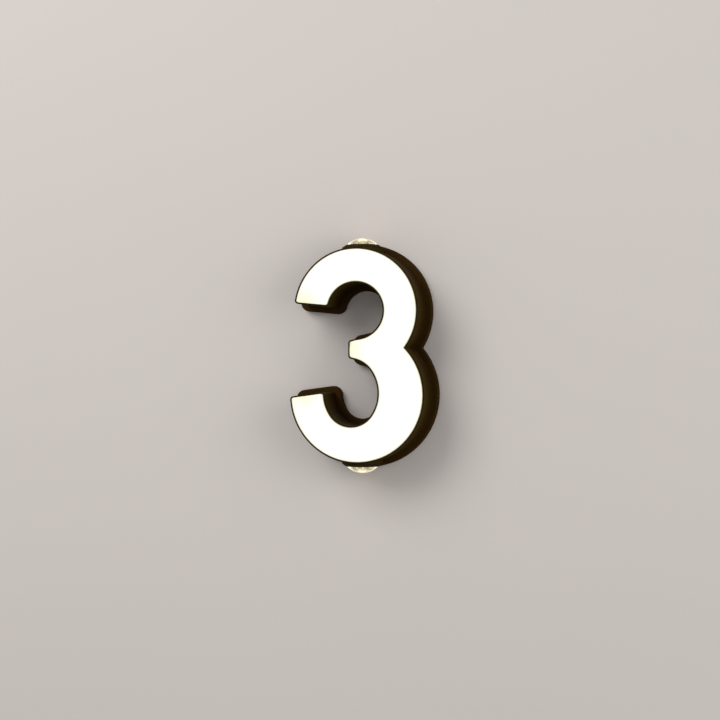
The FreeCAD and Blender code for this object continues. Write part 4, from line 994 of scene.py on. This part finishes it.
class HOUSENUMBER_OT_screws(bpy.types.Operator):
    """Finishes the screws"""

    bl_idname = "housenumber.screws"
    bl_label = "Screws"

    def execute(self, context):
        steel = machined_material("Stainless steel", (0.52, 0.51, 0.49, 1), (0.60, 0.59, 0.57, 1), 0.32,
                                  (1, 1, 0.15))
        paint_nodes(steel, "mid_plate_screws", "spot_screws_top", "spot_screws_bottom", "earth_screw",
                    "terminal_block_screw")
        black = machined_material("Blackened steel", (0.030, 0.026, 0.022, 1),
                                  (0.050, 0.044, 0.036, 1), 0.4, (1, 1, 0.15))
        paint_nodes(black, "set_screws")
        return {"FINISHED"}


class HOUSENUMBER_OT_light_engine(bpy.types.Operator):
    """Finishes the boards, emitters, reflector cups, heat sinks and the plate behind the face"""

    bl_idname = "housenumber.light_engine"
    bl_label = "Light engine"

    def execute(self, context):
        white = plain_material("White reflector coat", (0.80, 0.80, 0.78, 1),
                               (0.76, 0.76, 0.74, 1), 0.55, 0.0006, 0.00002, mottle_size=0.02)
        paint_nodes(white, "mid_plate")
        paint_nodes(board_material(), "led_board", "spot_board_top", "spot_board_bottom")
        paint_nodes(emitter_material("Lit emitters", 2.0), "face_leds")
        paint_nodes(emitter_material("Lit spot emitter", 30.0), "spot_led_top", "spot_led_bottom")
        mirror = machined_material("Metallised reflector", (0.80, 0.80, 0.80, 1),
                                   (0.86, 0.86, 0.86, 1), 0.16, (1, 1, 0.3), line_size=0.0008)
        paint_nodes(mirror, "lens_cup_top", "lens_cup_bottom")
        sink = machined_material("Black anodised aluminium", (0.035, 0.035, 0.038, 1),
                                 (0.05, 0.05, 0.054, 1), 0.42, (0.05, 1, 1))
        paint_nodes(sink, "heat_sink_top", "heat_sink_bottom")
        return {"FINISHED"}


class HOUSENUMBER_OT_wiring(bpy.types.Operator):
    """Finishes the driver, the terminal block, the earth point and the leads"""

    bl_idname = "housenumber.wiring"
    bl_label = "Driver and wiring"

    def execute(self, context):
        grey = plain_material("Grey moulded case", (0.62, 0.62, 0.60, 1), (0.68, 0.68, 0.66, 1),
                              0.5, 0.0008, 0.00003)
        paint_nodes(grey, "driver_case", "driver_lid")
        nylon = plain_material("Natural nylon", (0.74, 0.70, 0.58, 1), (0.80, 0.76, 0.66, 1),
                               0.42, 0.0007, 0.00002)
        paint_nodes(nylon, "terminal_block")
        brass = machined_material("Brass", (0.62, 0.44, 0.16, 1), (0.70, 0.52, 0.22, 1), 0.3,
                                  (1, 1, 0.1))
        paint_nodes(brass, "earth_tag", "terminal_clamps")
        paint_nodes(lead_material(middle_of("terminal_block").x), "driver_input_leads", "face_leads",
                    "spot_leads_top", "spot_leads_bottom")
        return {"FINISHED"}


class HOUSENUMBER_PT_panel(bpy.types.Panel):
    """Lists the steps in the order in which they run"""

    bl_idname = "HOUSENUMBER_PT_panel"
    bl_label = "House Number"
    bl_space_type = "VIEW_3D"
    bl_region_type = "UI"
    bl_category = "House Number"

    def draw(self, context):
        for name in STEPS:
            self.layout.operator(f"housenumber.{name}")
        for settings in SETTINGS:
            group = getattr(context.scene, settings)
            box = self.layout.box()
            for key in group.__annotations__:
                box.prop(group, key)


STEPS = ("face", "casing", "lenses", "rings", "seals", "screws", "light_engine", "wiring", "stage")
SETTINGS = {"house_number_face": FaceSettings, "house_number_coat": CoatSettings,
            "house_number_lens": LensSettings, "house_number_stage": StageSettings}
CLASSES = (*SETTINGS.values(), HOUSENUMBER_OT_face, HOUSENUMBER_OT_casing, HOUSENUMBER_OT_lenses,
           HOUSENUMBER_OT_rings, HOUSENUMBER_OT_seals, HOUSENUMBER_OT_screws,
           HOUSENUMBER_OT_light_engine, HOUSENUMBER_OT_wiring, HOUSENUMBER_OT_stage,
           HOUSENUMBER_PT_panel)


def register():
    for made in CLASSES:
        bpy.utils.register_class(made)
    for name, settings in SETTINGS.items():
        setattr(bpy.types.Scene, name, bpy.props.PointerProperty(type=settings))


def unregister():
    for name in SETTINGS:
        delattr(bpy.types.Scene, name)
    for made in reversed(CLASSES):
        bpy.utils.unregister_class(made)


def main():
    register()
    make_shared_effects()
    for name in STEPS:
        getattr(bpy.ops.housenumber, name)()


if __name__ == "__main__":
    main()
